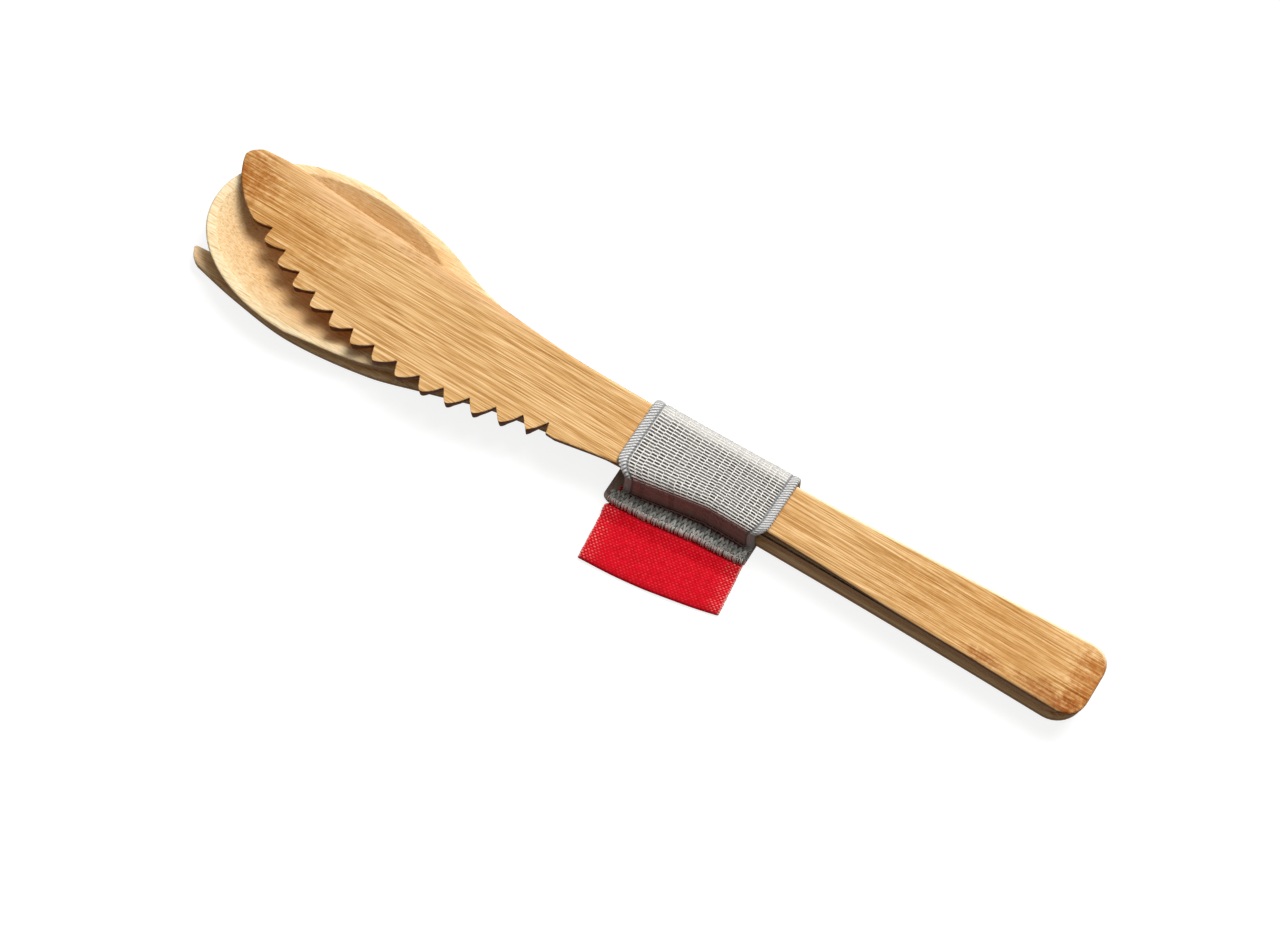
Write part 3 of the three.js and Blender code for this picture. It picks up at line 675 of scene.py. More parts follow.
def linear(colour):
    """sRGB 0-255 to linear."""
    return tuple(((c / 255 + 0.055) / 1.055) ** 2.4 if c > 10 else c / 255 / 12.92 for c in colour)


def tinted(colour, factors):
    return tuple(min(c * f, 255) for c, f in zip(colour, factors))


# Materials

WOOD_SPECULAR, CLOTH_SPECULAR, CLOTH_SHEEN = 0.04, 0.06, 0.06
PAINTED_EDGE_HIGHLIGHT, PAINTED_EDGE_SHADE = (255, 236, 198), (34, 14, 6)  # painted highlight and painted shade of a rounded edge
FAR_SIDE_SHARE = 0.35  # how much of the cut tone the far sides show; the near sides show all of it, partly as painted shade
VEIN, GLINT, SPECK = (0.88, 0.80, 0.68), (1.03, 1.06, 1.1), (0.9, 0.86, 0.8)  # tint factors
SWAY = 0.0007  # metres by which the fibres wander


def bamboo(name, tones, grain_turn, seed, patches, cut_and_shade_tone, cut_and_shade_share,
           speckle=0.0, hollow_shade_tint=None, mottling=2.0):
    """Sanded bamboo: long fine fibres, darker vascular lines and tinted patches.

    tones are the dark, middle and light colours. patches are (x, y, reach along x, reach along
    y, share, colour, way of blending) in the pack's millimetres, among them painted shade and a
    painted highlight, and mottling is how ragged their borders are. cut_and_shade_tone colours
    the cut sides by cut_and_shade_share: their own darker tone, and painted shade on the near
    sides. hollow_shade_tint is painted shade in the spoon's hollow, and speckle is the strength
    of fine grains on top."""
    finish = Finish(name, WOOD_SPECULAR)
    at = finish.position()
    x, y, z = finish.parts(at)

    def grain(vector, length, width, offset, detail=1.0, roughness=0.5):
        """Noise drawn out along the fibres."""
        return finish.noise(vector, (length, width, width), detail, roughness, grain_turn, offset)

    wave = finish.noise(at, (16, 50, 50), 1.0, offset=(seed, 0, 0))
    swayed = finish.vector(x, y + wave * SWAY, z)
    fibres = grain(swayed, 85, 5800, (seed, seed, 0), 2.0, 0.6)
    bands = grain(swayed, 44, 3200, (0, seed, seed), 2.0, 0.6)
    broad = grain(swayed, 15, 190, (seed, 0, seed))
    lines = grain(swayed, 60, 4200, (seed, 3, 0))
    dark, middle, light = tones
    tone = fibres * 0.48 + bands * 0.48 + broad * 0.1 - 0.03
    colour = finish.colours(tone, (0.41, dark), (0.51, middle), (0.62, light))
    vein = lines.ramp(0.58, 0.70) * (bands.ramp(0.6, 0.4) * 0.7 + 0.3)
    glint = lines.ramp(0.40, 0.30) * fibres.ramp(0.45, 0.6)
    layers = [(vein * 0.7, tinted(dark, VEIN)), (glint * 0.45, tinted(light, GLINT))]
    smoky = grain(at, 260, 1500, (0, seed, 0), 4.0, 0.7)
    mottle = finish.noise(at, (750, 750, 750), 3.0, 0.6, offset=(seed, 0, 0))
    for centre_x, centre_y, reach_x, reach_y, share, tint, how in patches:
        row_x, row_y, _ = place((centre_x, centre_y, 0))
        away_x = (x - row_x) / (reach_x / 1000)
        away_y = (y - row_y) / (reach_y / 1000)
        away = away_x * away_x + away_y * away_y + (smoky + mottle - 1.0) * mottling
        layers.append((away.ramp(-0.2, 1.1, share, 0.0), tint, how))
    if hollow_shade_tint:
        # Painted shade: the hollow a little darker and warmer than its rim
        layers.append((finish.attribute("hollow"), hollow_shade_tint, "MULTIPLY"))
    # Cut sides: their own darker tone, with painted shade on the near sides; the rounded edge: a
    # painted highlight or painted shade
    side, edge = finish.attribute("side"), finish.attribute("edge")
    layers += [(side * (bands * 0.4 + 0.8) * cut_and_shade_share, cut_and_shade_tone),
               (edge.ramp(0.0, 1.0), PAINTED_EDGE_HIGHLIGHT), (edge.ramp(0.0, -1.0), PAINTED_EDGE_SHADE)]
    if speckle:
        grains = finish.noise(at, (2300, 3000, 3000), 1.0)
        layers += [(grains.ramp(0.56, 0.72) * speckle, tinted(dark, SPECK)),
                   (grains.ramp(0.44, 0.3) * speckle * 0.8, light)]
    roughness = fibres * 0.22 + bands * 0.1 + 0.42
    height = fibres * 0.6 - vein * 0.6 + bands * 0.3
    return finish.made(colour, layers, roughness, height, 0.00008, 0.8)


def woven(name):
    """Elastic: light weft threads over dark gaps, in columns, with cool grey edges."""
    finish = Finish(name, CLOTH_SPECULAR, CLOTH_SHEEN)
    u, v, outer = finish.parts(finish.attribute("strap", "Vector"))
    column = (u - (SELVEDGE + GROOVE)) / RIB_PITCH
    across = column.fract()
    jitter = finish.random(column.floor(), 0.0, 3.0)
    row = v / ROW_PITCH - across * ROW_LEAN + jitter * 0.3
    cell = finish.random(column.floor(), row.floor(), 1.0)
    half_length = across.away(0.5) + cell * 0.14 - 0.07
    dash = row.fract().away(0.5).ramp(0.35, 0.21) * half_length.ramp(0.51, 0.40)
    fuzz = finish.noise(finish.position(), (6000, 6000, 6000), 2.0)
    # Painted shade with a painted red reflection of the label on the near side and tab, and a
    # painted highlight that fades the dashes on the far bend
    light_mask = finish.attribute("painted_light")
    shaded, far_highlight = light_mask.ramp(0.0, 1.0), light_mask.ramp(0.0, -1.0)
    warm = finish.colours(fuzz, (0.3, (204, 202, 197)), (0.7, (248, 246, 241)))
    warm = finish.blend(shaded * 0.85, warm, (150, 96, 92))
    dark = finish.colours(cell, (0.0, (22, 20, 18)), (1.0, (70, 66, 62)))
    dark = finish.blend(shaded * 0.8, dark, (74, 42, 40))
    colour = finish.blend(dash * (cell * 0.25 + 0.75) * (far_highlight * -0.62 + 1.0), warm, dark)
    ridge = ((v + u * TWILL_LEAN) / TWILL_PITCH).fract().away(0.5) * 2
    cord = finish.blend(ridge.ramp(0.2, 0.7), (128, 129, 129), (222, 222, 221))
    cord = finish.blend(shaded * 0.2, cord, (104, 92, 90))
    right = BAND_WIDTH - SELVEDGE_BEAD
    corded = u.ramp(SELVEDGE + 0.05, SELVEDGE - 0.1) + u.ramp(right - 0.05, right + 0.1)
    left_groove, right_groove = (
        u.away(middle).ramp(0.35, 0.12, 0.0, 0.75) for middle in (SELVEDGE + 0.15, right - 0.15))
    lining = finish.blend(fuzz, (172, 156, 147), (204, 190, 181))
    layers = [(corded, cord), (left_groove + right_groove, (112, 116, 120)),
              (outer * -1 + 1, lining)]
    height = fuzz * 0.25 - dash * outer + ridge * corded * 0.5
    return finish.made(colour, layers, 0.85, height, 0.00016, 0.7)


def ribbon_red(name):
    """Label: bright red woven ribbon with lighter weft dots near its ends."""
    finish = Finish(name, CLOTH_SPECULAR)
    u, v, fold = finish.parts(finish.attribute("strap", "Vector"))
    row = v / DOT_ROW
    column = u / DOT_COLUMN + row.floor() * 0.5
    dots = column.fract().away(0.5).ramp(0.34, 0.12) * row.fract().away(0.5).ramp(0.38, 0.16)
    cell = finish.random(column.floor(), row.floor(), 0.0)
    half = LABEL_WIDTH / 2
    from_middle = u.away(half)
    border = from_middle.ramp(half - 4.2, half - 0.6)
    cloud = finish.noise(finish.position(), (900, 900, 900), 3.0)
    colour = finish.colours(cloud, (0.35, (212, 4, 26)), (0.65, (232, 9, 38)))
    pale = dots * (border * 0.55 + 0.09) * (cell * 0.9 + 0.25)
    fray = from_middle.ramp(half - 0.5, half - 0.1) * (v / FRAY_PITCH).fract().ramp(0.35, 0.6)
    layers = [(pale, (255, 170, 158)), (dots.ramp(0.5, 0.0) * 0.25, (150, 0, 14)),
              (fold * 0.55, (138, 0, 14)), (fray * 0.7, (244, 190, 182))]
    return finish.made(colour, layers, 0.7, dots * 0.8 + cloud * 0.3, 0.0001, 0.8)


def spun(name):
    """Grey sewing thread with twist and a shade of its own for each strand."""
    finish = Finish(name, CLOTH_SPECULAR, CLOTH_SHEEN)
    tone, along, _ = finish.parts(finish.attribute("strand", "Vector"))
    fluff = finish.noise(finish.position(), (5200, 5200, 5200), 3.0)
    colour = finish.colours(tone * 0.65 + fluff * 0.4, (0.1, (76, 78, 75)),
                            (0.5, (140, 142, 138)), (0.85, (210, 211, 206)))
    twist = (along / TWIST_PITCH).fract()
    layers = [(tone.ramp(0.98, 1.5), (212, 196, 188))]
    return finish.made(colour, layers, 0.9, fluff + twist * 0.5, 0.00012, 0.7)


# Strap, label and thread


def fin_end_at(x):
    """Where the fin ends: it bows out towards the label in the middle."""
    share = (x - BAND_START) / BAND_WIDTH * 2 - 1
    return near_side(x) - CLEARANCE - STRAP - FIN_REACH + FIN_BOW * share**2


def strap_line(x):
    """Inner line of the strap at station x: (y, z, normal y, normal z, run) rows.

    Its runs: 0 under the pack, 2 far side, 4 top, 6 near side, 8 tab, and the bends between."""
    near, far = float(near_side(x)) - CLEARANCE, float(far_side(x)) + CLEARANCE
    top = float(knife_underside(x)) + KNIFE_THICKNESS / math.cos(LEAN) + CLEARANCE
    fin_end = float(fin_end_at(x))
    low, high = STRAP + STRAP_BEND, top - STRAP_BEND
    left, right = near + STRAP_BEND, far - STRAP_BEND
    corner = (near - STRAP - TAB_BEND, TAB_HEIGHT + STRAP + TAB_BEND)
    rows = []

    def straight(a, b, normal, count, run, crowd=1.0):
        for t in np.linspace(0, 1, count + 1)[:-1] ** crowd:
            rows.append((a[0] + (b[0] - a[0]) * t, a[1] + (b[1] - a[1]) * t, *normal, run + t))

    def arc(centre, radius, start, end, count, run, outward=1):
        for t in np.linspace(0, 1, count + 1)[:-1]:
            angle = math.radians(start + (end - start) * t)
            c, s = math.cos(angle), math.sin(angle)
            y, z = centre[0] + radius * c, centre[1] + radius * s
            rows.append((y, z, outward * c, outward * s, run + t))

    straight((fin_end, STRAP), (right, STRAP), (0, -1), 26, 0, 2.0)
    arc((right, low), STRAP_BEND, -90, 0, 5, 1)
    straight((far, low), (far, high), (1, 0), 24, 2)
    arc((right, high), STRAP_BEND, 0, 90, 18, 3)
    straight((right, top), (left, top), (0, 1), 84, 4)
    arc((left, high), STRAP_BEND, 90, 180, 18, 5)
    straight((near, high), (near, corner[1]), (-1, 0), 32, 6)
    arc(corner, STRAP + TAB_BEND, 0, -90, 12, 7, -1)
    straight((corner[0], TAB_HEIGHT), (fin_end, TAB_HEIGHT), (0, 1), 14, 8)
    rows.append((fin_end, TAB_HEIGHT, 0, 1, 9))
    return np.array(rows)


# How far the strap is drawn in at its two edges along its runs
inset_start = profile(
    (0, 0.7), (0.015, -0.1), (0.04, -0.6), (0.08, -0.8), (1, -0.8), (2, 0), (4.85, 0), (5.35, 0.9),
    (6, 3.0), (7, 2.6), (8, 2.2), (9, 0.6))
inset_end = profile(
    (0, 2.0), (1, 2.0), (2, 0), (4.85, 0), (5.35, 0.5), (6, 1.8), (7, 1.9), (8, 2.0), (9, 2.0))
# Painted light on the strap: 1 on the near side and the tab, painted shade with a painted red
# reflection of the label, where dark gaps show; -1 on the far bend, a painted highlight, where they
# are faint
painted_light_at = profile((0, 0), (2.5, 0), (3.2, -1), (3.9, -1), (4.2, 0), (5.35, 0), (5.95, 1), (9, 1))


def weave_height(u, v):
    """Relief of the strap's outer face, in millimetres."""
    ribs = SELVEDGE + GROOVE
    last = BAND_WIDTH - SELVEDGE_BEAD
    across = np.mod((u - ribs) / RIB_PITCH, 1)
    row = np.mod(v / ROW_PITCH - across * ROW_LEAN, 1)
    pads = 0.09 * np.cos(2 * math.pi * row) + 0.05 * np.abs(np.sin(math.pi * across))
    body = (u > ribs) & (u < last - GROOVE / 2)
    left = 0.14 * np.clip(np.sin(math.pi * np.clip(u / SELVEDGE, 0, 1)), 0, 1) ** 0.5
    right = 0.16 * np.clip(np.sin(math.pi * np.clip((u - last) / SELVEDGE_BEAD, 0, 1)), 0, 1) ** 0.5
    cord = 0.03 * np.cos(2 * math.pi * (v + TWILL_LEAN * u) / TWILL_PITCH)
    edge = np.where(u <= SELVEDGE, left + cord, np.where(u >= last, right + cord, -0.1))
    return np.where(body, pads, edge)


def rounded_edge(u, width, reach):
    """0 at a strap's very edge, 1 from reach inwards, round between."""
    t = np.clip(np.minimum(u, width - u) / reach, 0, 1)
    return np.sqrt(1 - (1 - t) ** 2)


def wrapped(columns):
    """Faces over a closed round of columns with equally many points, and over both ends."""
    total, count = len(columns), len(columns[0])
    faces = []
    for c in range(total):
        a, b = c * count, (c + 1) % total * count
        faces += [(a + i, b + i, b + i + 1, a + i + 1) for i in range(count - 1)]
    starts = [c * count for c in range(total)]
    return faces + [starts[::-1], [i + count - 1 for i in starts]]


def band():
    """The strap, its outer face in relief. Returns the piece and the length of the strap."""
    edge_u = np.array([0.04, 0.12, 0.24])
    across = np.unique(np.concatenate([
        np.linspace(0, BAND_WIDTH, 171), edge_u, BAND_WIDTH - edge_u]))
    edge_u = np.append(edge_u, 0.5)
    inner_across = np.concatenate([
        edge_u, np.linspace(1.2, BAND_WIDTH - 1.2, 20), BAND_WIDTH - edge_u[::-1]])
    middle = strap_line(BAND_START + across[len(across) // 2])
    v = run_length(middle[:, :2] + middle[:, 2:4] * STRAP)
    points, strap, painted_light = [], [], []
    for u, outer in [(u, 1.0) for u in across] + [(u, 0.0) for u in inner_across[::-1]]:
        line = strap_line(BAND_START + u)
        run = line[:, 4]
        start, end = inset_start(run), inset_end(run)
        x = BAND_START + start + u * (1 - (start + end) / BAND_WIDTH)
        shape = rounded_edge(u, BAND_WIDTH, 0.45)
        relief = np.where(run < 2, 0.0, weave_height(u, v)) * shape * outer
        y, z = line[:, :2].T + line[:, 2:4].T * (
            STRAP / 2 + (2 * outer - 1) * STRAP / 2 * shape + relief)
        points.append(np.column_stack([x, y, z]))
        strap.append(np.column_stack([np.full(len(v), u), v, np.full(len(v), outer)]))
        # Painted shade on the near side and tab, painted highlight on the far bend
        painted_light.append(painted_light_at(run) * outer)
    obj = mesh_object("woven_band", np.vstack(points), wrapped(points), woven("elastic_weave"),
                      {"strap": np.vstack(strap), "painted_light": np.concatenate(painted_light)}, 60)
    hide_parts("elastic_band")
    return obj, v[-1]


def label():
    """The red strip, folded over. Returns the piece and the length of the strip."""
    fin = STRAP + FIN_REACH
    base_y = float(near_side(LABEL_START)) - CLEARANCE

    def fold_line(u):
        """The strip's line at u, there and back: (distance from the pack, z, normal) rows."""
        share = 2 * u / LABEL_WIDTH - 1
        reach = LABEL_REACH - LABEL_TAPER * u / LABEL_WIDTH + LABEL_BOW * (1 - share**2)
        out = np.concatenate([
            np.linspace(0, fin, 12)[:-1], np.linspace(fin, reach - LABEL_THICKNESS / 2, 56)])
        sink = (LABEL_HEIGHT - CLEARANCE / 2) * smooth((out - fin) / LABEL_SETTLE)
        wave = 0.16 * np.sin(u * 0.36 + 0.8) * smooth((out - fin - 2) / 8)
        low = LABEL_HEIGHT - sink + np.maximum(wave, -0.05)
        centre = np.column_stack([out, low + LABEL_THICKNESS / 2])
        centre = np.vstack([centre, np.repeat(centre[-1:], 10, axis=0), centre[::-1]])
        angles = np.radians(np.pad(np.linspace(90, -90, 12), len(out) - 1, mode="edge"))
        normal = np.column_stack([np.cos(angles), np.sin(angles)])
        return np.hstack([centre + normal * (LABEL_THICKNESS - LABEL_PLY) / 2, normal])

    columns = [(u, fold_line(u)) for u in np.linspace(0, LABEL_WIDTH, 121)]
    v = run_length(columns[len(columns) // 2][1][:, :2])
    points, strap = [], []
    sides = [(1, *column) for column in columns] + [(-1, *column) for column in columns[-2:0:-1]]
    for side, u, line in sides:
        relief = RIBBON_RELIEF * np.cos(2 * math.pi * v / RIBBON_PITCH) if side > 0 else 0.0
        shape = float(rounded_edge(u, LABEL_WIDTH, 0.12))
        y, z = line[:, :2].T + line[:, 2:4].T * (side * LABEL_PLY / 2 * shape + relief * shape)
        pinch = LABEL_PINCH * smooth((fin + 0.4 - line[:, 0]) / 1.2) * (1 - u / LABEL_WIDTH)
        fray = 0.0
        if u in (0, LABEL_WIDTH):
            fray = rng.uniform(-0.16, 0.05, len(v)) * (1 if u else -1) * smooth(line[:, 0] - fin)
        x = u * LABEL_SPREAD + LABEL_SHIFT + fray + pinch
        points.append(turned(np.column_stack([x, -y, z]), LABEL_TURN, LABEL_START, base_y))
        shade = np.exp(-((v - v[-1] / 2) / FOLD_SHADE) ** 2)
        strap.append(np.column_stack([np.full(len(v), u), v, shade]))
    obj = mesh_object("red_label", np.vstack(points), wrapped(points), ribbon_red("label_ribbon"),
                      {"strap": np.vstack(strap)}, 50)
    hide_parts("fabric_label")
    return obj, v[-1]


def tube(path, radius):
    """Points and faces of a round tube along a path, closed at its ends."""
    along = np.gradient(path, axis=0)
    along /= np.linalg.norm(along, axis=1)[:, None]
    side = np.cross(along, (0.0, 0.0, 1.0)) + (1e-3, 2e-3, 0)
    side /= np.linalg.norm(side, axis=1)[:, None]
    other = np.cross(side, along)
    angles = np.linspace(0, 2 * math.pi, THREAD_SIDES, endpoint=False)
    c, s = np.cos(angles)[:, None], np.sin(angles)[:, None]
    rings = [p + r * (c * a + s * b) for p, r, a, b in zip(path, radius, side, other)]
    starts = [i * THREAD_SIDES for i in range(len(path))]
    faces = [q for a, b in zip(starts, starts[1:]) for q in ring_faces(a, b, THREAD_SIDES)]
    end = list(range(THREAD_SIDES))
    return np.vstack(rings), faces + [end[::-1], [starts[-1] + i for i in end]]


def stitching():
    """Overlocked threads over the fin: a dense ground, chunky loops on it, and light whiskers
    round its end that reach over the label."""
    points, faces, strand = [], [], []
    total = 0
    first = BAND_START + float(inset_start(8.8))
    last = BAND_START + BAND_WIDTH - float(inset_end(8.8))
    top = TAB_HEIGHT + STRAP

    def add(path, radius, tone):
        """One thread, half as thick at its ends."""
        nonlocal total
        radius = np.full(len(path), radius)
        radius[[0, -1]] *= 0.5
        p, f = tube(path, radius)
        length = np.repeat(np.arange(len(path)) * THREAD_STEP, THREAD_SIDES)
        points.append(p)
        faces.extend([[i + total for i in q] for q in f])
        strand.append(np.column_stack([np.full(len(p), tone), length, np.zeros(len(p))]))
        total += len(p)

    def across(x, start, end, height, slant, steps=7):
        """Points over the fin from share start to share end of its reach."""
        t = np.linspace(0, 1, steps)
        inner = float(near_side(x)) - CLEARANCE - STRAP - TAB_BEND - 0.1
        share = start + (end - start) * t
        y = inner + (float(fin_end_at(x)) - 0.15 - inner) * share
        z = top + height + 0.1 * np.sin(math.pi * t) - 0.35 * np.clip(share - 0.85, 0, 1)
        return np.column_stack([np.clip(x + slant * (t - 0.5), first + 0.1, last - 0.1), y, z])

    for x in np.arange(first + 0.2, last - 0.1, GROUND_PITCH):
        x += rng.uniform(-0.08, 0.08)
        path = across(x, rng.uniform(-0.02, 0.08), 1.0, 0.05, rng.uniform(-0.5, 0.5))
        path = np.vstack([path, path[-1] + (0, -0.14, -0.3), path[-1] + (0, -0.12, -0.85)])
        add(path, GROUND_THREAD, rng.uniform(0.0, 0.4))
    for row, (start, end) in enumerate(((0.06, 0.5), (0.4, 0.92))):
        for x in np.arange(first + 0.3 + row * 0.3, last - 0.3, LOOP_PITCH):
            x += rng.uniform(-0.1, 0.1)
            tone = rng.uniform(0.45, 1.0)
            for side in (1, -1):
                path = across(x + side * 0.2, start + rng.uniform(-0.05, 0.05),
                              end + rng.uniform(-0.05, 0.05), 0.32, side * 0.42)
                path[:, 2] += 0.12 * np.sin(np.linspace(0, math.pi, len(path)))
                add(path, LOOP_THREAD, np.clip(tone + rng.uniform(-0.15, 0.15), 0, 1))
    for x in np.arange(first + 0.2, last - 0.15, WHISKER_PITCH):
        x += rng.uniform(-0.1, 0.1)
        path = across(x, rng.uniform(0.76, 0.88), 1.0, 0.34, rng.uniform(-0.3, 0.3), 4)
        reach = rng.uniform(0.05, 0.35)
        hanging = path[-1] + ((0, -0.25, -0.25), (0.05, -0.3, -0.8), (0.1, -0.3 - reach, -1.25))
        add(np.vstack([path, hanging]), WHISKER_THREAD, rng.uniform(1.0, 1.6))
    obj = mesh_object("overlock_thread", np.vstack(points), faces, spun("grey_thread"),
                      {"strand": np.vstack(strand)}, 80)
    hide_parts("seam_thread")
    return obj


# Utensils

KNIFE_TONES = ((182, 134, 76), (214, 170, 112), (238, 203, 153))
SPOON_TONES = ((236, 206, 156), (249, 227, 184), (254, 241, 208))
FORK_TONES = ((230, 188, 138), (248, 214, 166), (254, 232, 192))
# Cut sides: their own darker tone plus painted shade on the near sides; the knife's is dark as
# painted shade of the gap under its edge
KNIFE_CUT_AND_SHADE, SPOON_CUT_AND_SHADE, FORK_CUT_AND_SHADE = (96, 48, 22), (176, 130, 92), (170, 124, 86)
CHARRED, SMOKED, TOASTED = (188, 136, 88), (212, 170, 122), (238, 222, 198)
# A painted highlight along the knife's spine; painted shade in the spoon's bowl under the blade, on
# its far wall and in its hollow
SPINE_HIGHLIGHT, PAINTED_BLADE_SHADOW, PAINTED_FAR_WALL_SHADE, HOLLOW_SHADE = (236, 192, 148), (255, 218, 172), (238, 208, 168), (249, 240, 230)
# Scorched tip and butt of the knife, a smudge on its grip, a painted highlight along the spine
KNIFE_PATCHES = [
    (12, -3, 24, 13, 1.0, TOASTED, "MULTIPLY"), (0, 2, 12, 9, 0.85, SMOKED, "MULTIPLY"),
    (28, 7.5, 22, 3.5, 0.5, SPINE_HIGHLIGHT, "MIX"), (58, 5.5, 26, 2.8, 0.35, SPINE_HIGHLIGHT, "MIX"),
    (184, 0, 30, 14, 0.75, TOASTED, "MULTIPLY"), (KNIFE_LENGTH, 0, 7, 16, 0.85, SMOKED, "MULTIPLY"),
    (184, -5.8, 5, 1.6, 0.7, CHARRED, "MULTIPLY"), (199, -6, 9, 3, 0.7, CHARRED, "MULTIPLY"),
    (120, -2, 30, 9, 0.4, TOASTED, "MULTIPLY"),
]
# Smoked handle end, and painted shade in the bowl: the blade's shadow along its teeth and the shade
# on its far wall
SPOON_PATCHES = [
    (SPOON_LENGTH, 0, 7, 14, 0.5, SMOKED, "MULTIPLY"), (34, -6, 36, 14, 0.95, PAINTED_BLADE_SHADOW, "MULTIPLY"),
    (32, 9, 32, 7, 0.95, PAINTED_FAR_WALL_SHADE, "MULTIPLY"),
]
FORK_PATCHES = [(FORK_LENGTH, 0, 7, 14, 0.5, SMOKED, "MULTIPLY")]


def utensil(name, node, outline, radii, top, bottom, spacing, material, slot, put, hollow=None,
            **more):
    """A wooden piece: a plate between two surfaces, moved to its place by put."""
    points, faces, attributes = plate(outline, *radii, top, bottom, spacing, **more)
    if hollow:
        attributes["hollow"] = hollow(*points.T)
    obj = mesh_object(name, put(points), faces, material, attributes, 38)
    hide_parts(node)


def place_knife(points):
    c, s = math.cos(LEAN), math.sin(LEAN)
    x, y, z = points.T
    return np.column_stack([x * c + z * s, y, knife_underside(0) - x * s + z * c])


outline, radius = knife_outline()
on_handle = smooth((radius - TOOTH_EDGE) / (KNIFE_EDGE - TOOTH_EDGE))
undercut = TOOTH_UNDERCUT + (KNIFE_UNDERCUT - TOOTH_UNDERCUT) * on_handle
on_far_edge = smooth(-inward(outline)[:, 1]) * smooth(outline[:, 1] / 4)
utensil(
    "bamboo_knife", "knife", outline, (radius, radius + undercut),
    lambda x, y: np.full(np.shape(x), KNIFE_THICKNESS), lambda x, y: np.zeros(np.shape(x)), 1.6,
    bamboo("knife_bamboo", KNIFE_TONES, math.radians(-1.5), 1.7, KNIFE_PATCHES, KNIFE_CUT_AND_SHADE, 1.0),
    "knife_wood", place_knife, deep=True,
    # A painted highlight on the far edge towards the handle
    edge_tint=0.75 * on_far_edge * smooth((outline[:, 0] - 65) / 80),
)

# Rings of points that give the rim of the spoon's hollow its crisp edge
angles = np.linspace(0, 2 * math.pi, 260, endpoint=False)
rim = np.column_stack([CAVITY_LENGTH * np.cos(angles), CAVITY_WIDTH * np.sin(angles)])
rim_shares = (1.03, 1.012, 1.0, 0.994, 0.985, 0.972, 0.955, 0.93, 0.9)
rim_rings = np.vstack([(BOWL_FRONT, 0) + rim * k for k in rim_shares])


def in_hollow(x, y, z):
    """1 on the upper face inside the hollow's rim, which takes the hollow's painted shade."""
    return smooth((1 - bowl_share(x, y)) / 0.015) * (z > spoon_underside(x, y) + 0.5)


def off_rim(points):
    """Which points of the even grid lie clear of the rings."""
    share = bowl_share(*points.T)
    return (share > 1.06) | (share < 0.87)


outline = spoon_outline()
radius = np.minimum(spoon_edge(outline[:, 0]) * EDGE_SHARE, SPOON_EDGE)
utensil(
    "bamboo_spoon", "spoon", outline, (radius, radius), spoon_surface, spoon_underside, 1.3,
    bamboo("spoon_bamboo", SPOON_TONES, -SKEW, 5.1, SPOON_PATCHES, SPOON_CUT_AND_SHADE, 0.9,
           speckle=0.2, hollow_shade_tint=HOLLOW_SHADE, mottling=0.4),
    "spoon_wood", lambda p: turned(p, SKEW, SPOON_TIP, -SPOON_SIDE),
    hollow=in_hollow, extra=(rim_rings, off_rim),
    # Painted shade on the near edge of the neck and handle, in the gap under the knife
    edge_tint=-smooth(inward(outline)[:, 1]) * smooth((outline[:, 0] - 70) / 30),
)

outline = fork_outline()
radius = np.minimum(fork_edge(outline[:, 0]) * EDGE_SHARE, FORK_EDGE)
utensil(
    "bamboo_fork", "fork", outline, (radius, radius), fork_surface, fork_underside, 1.4,
    bamboo("fork_bamboo", FORK_TONES, -SKEW, 9.3, FORK_PATCHES, FORK_CUT_AND_SHADE, 0.9),
    "fork_wood", lambda p: turned(p, SKEW, FORK_TIP, -FORK_SIDE),
)

band_piece, band_length = band()
label_piece, label_length = label()
thread_piece = stitching()

# Camera, light and ground

AZIMUTH, ELEVATION, DISTANCE = 32.2026, 70.0, 0.61148  # degrees and metres
TARGET = Vector(place([104.878, -6.9054, 6.0]))


def look(obj, azimuth, elevation, distance, target):
    """Puts obj at a distance from the target, turned to it. Azimuth 0 is on the -Y side."""
    a, e = math.radians(azimuth), math.radians(elevation)
    out = Vector((math.sin(a) * math.cos(e), -math.cos(a) * math.cos(e), math.sin(e)))
    obj.location = target + out * distance
    obj.rotation_mode = "QUATERNION"
    obj.rotation_quaternion = (-out).to_track_quat("-Z", "Y")


camera_data = bpy.data.cameras.new("camera")
camera_data.lens, camera_data.sensor_width = 85.0, 36.0
camera_data.clip_start, camera_data.clip_end = 0.01, 50
camera = scene_object("camera", camera_data)
look(camera, AZIMUTH, ELEVATION, DISTANCE, TARGET)
bpy.context.scene.camera = camera


def softbox(name, azimuth, elevation, distance, size, watts):
    """Rectangular lamp that looks at the row frame's origin."""
    data = bpy.data.lights.new(name, "AREA")
    data.shape, data.size, data.size_y = "RECTANGLE", *size
    data.energy = watts
    look(scene_object(name, data), azimuth, elevation, distance, Vector())


softbox("key", 158, 68, 1.0, (0.42, 0.36), 9.2)
softbox("rim", 186, 22, 1.1, (0.9, 0.3), 5.0)
softbox("overhead", 120, 84, 1.1, (0.8, 0.8), 2.0)

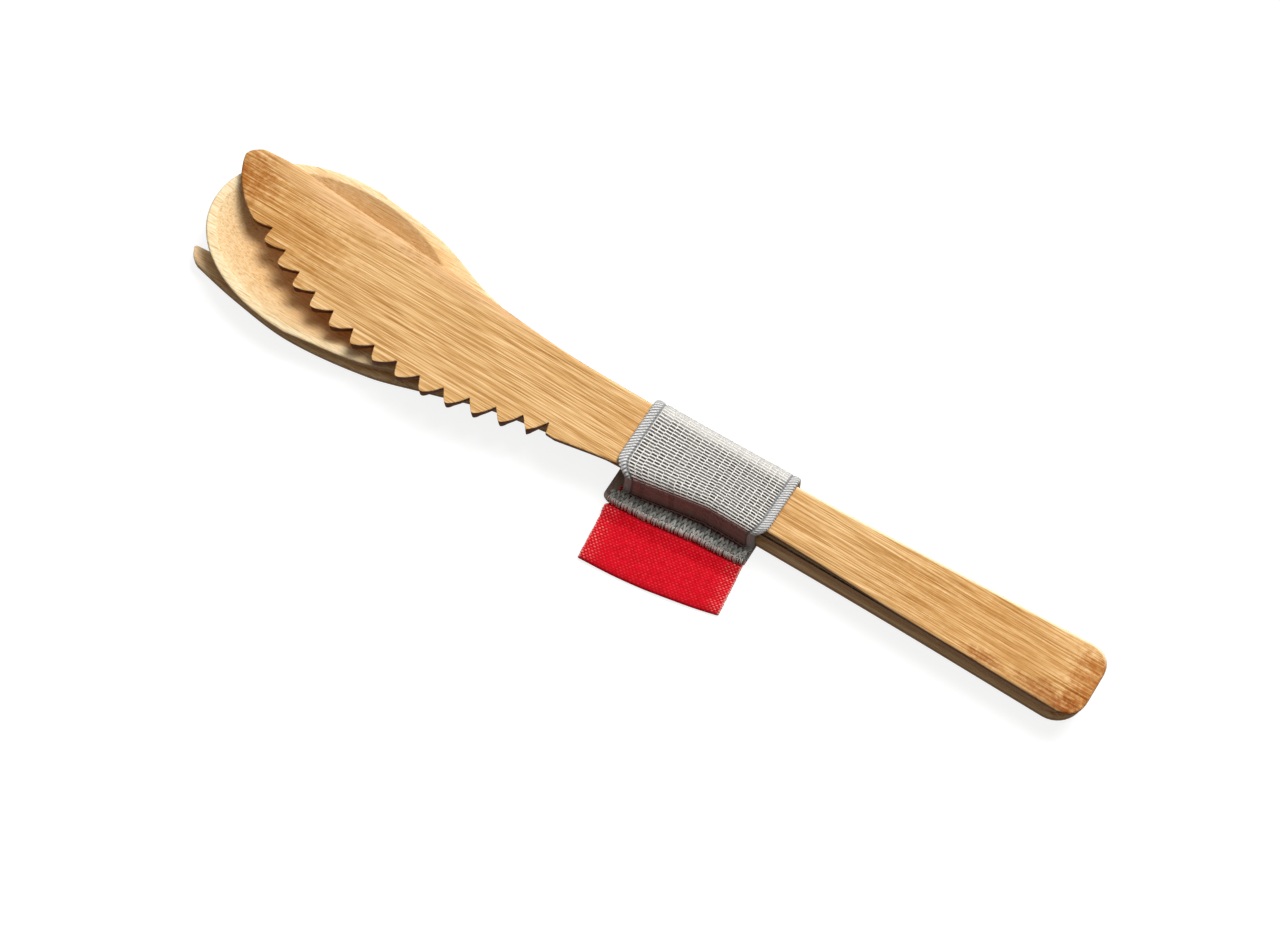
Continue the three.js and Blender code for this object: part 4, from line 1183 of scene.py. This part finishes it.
BACKGROUND_RAYS = ("Is Camera Ray", "Is Glossy Ray", "Is Transmission Ray")
WHITE = (1, 1, 1, 1)
FILL_COLOUR, FILL_STRENGTH = (1.0, 0.80, 0.60, 1), 0.1
FLOOR_TONE, FLOOR_GLOW, FLOOR_REACH, FLOOR_HEIGHT = 0.22, 0.86, 3.0, -0.0002


def background_rays(tree):
    """1 for the rays that are to see the white background, 0 for those that light the pack."""
    path = tree.nodes.new("ShaderNodeLightPath")
    seen, glossy, through = (Signal(tree, path.outputs[name]) for name in BACKGROUND_RAYS)
    return seen.math("MAXIMUM", glossy).math("MAXIMUM", through)


def studio():
    """World: a weak warm fill, white where it is seen."""
    world = bpy.data.worlds.new("studio")
    bpy.context.scene.world = world
    world.use_nodes = True
    tree = world.node_tree
    fill = tree.nodes["Background"]
    feed(tree, fill.inputs["Color"], FILL_COLOUR)
    feed(tree, fill.inputs["Strength"], FILL_STRENGTH)
    white = tree.nodes.new("ShaderNodeBackground")
    feed(tree, white.inputs["Color"], WHITE)
    either = tree.nodes.new("ShaderNodeMixShader")
    for i, value in enumerate((background_rays(tree), fill.outputs[0], white.outputs[0])):
        feed(tree, either.inputs[i], value)
    feed(tree, tree.nodes["World Output"].inputs[0], either.outputs[0])


def ground():
    """Pale floor that looks white where it is seen and keeps the pack's shadow."""
    mesh = bpy.data.meshes.new("floor")
    signs = ((-1, -1), (1, -1), (1, 1), (-1, 1))
    corners = [(x * FLOOR_REACH, y * FLOOR_REACH, FLOOR_HEIGHT) for x, y in signs]
    mesh.from_pydata(corners, [], [(0, 1, 2, 3)])
    floor = scene_object("floor", mesh)
    paper = Finish("paper", 0.1)
    paper.shade({
        "Base Color": (FLOOR_TONE, FLOOR_TONE, FLOOR_TONE, 1), "Roughness": 0.9,
        "Emission Color": WHITE, "Emission Strength": background_rays(paper.tree) * FLOOR_GLOW})
    mesh.materials.append(paper.material)


studio()
ground()
bpy.context.scene.view_settings.view_transform = "Standard"

bpy.context.view_layer.update()
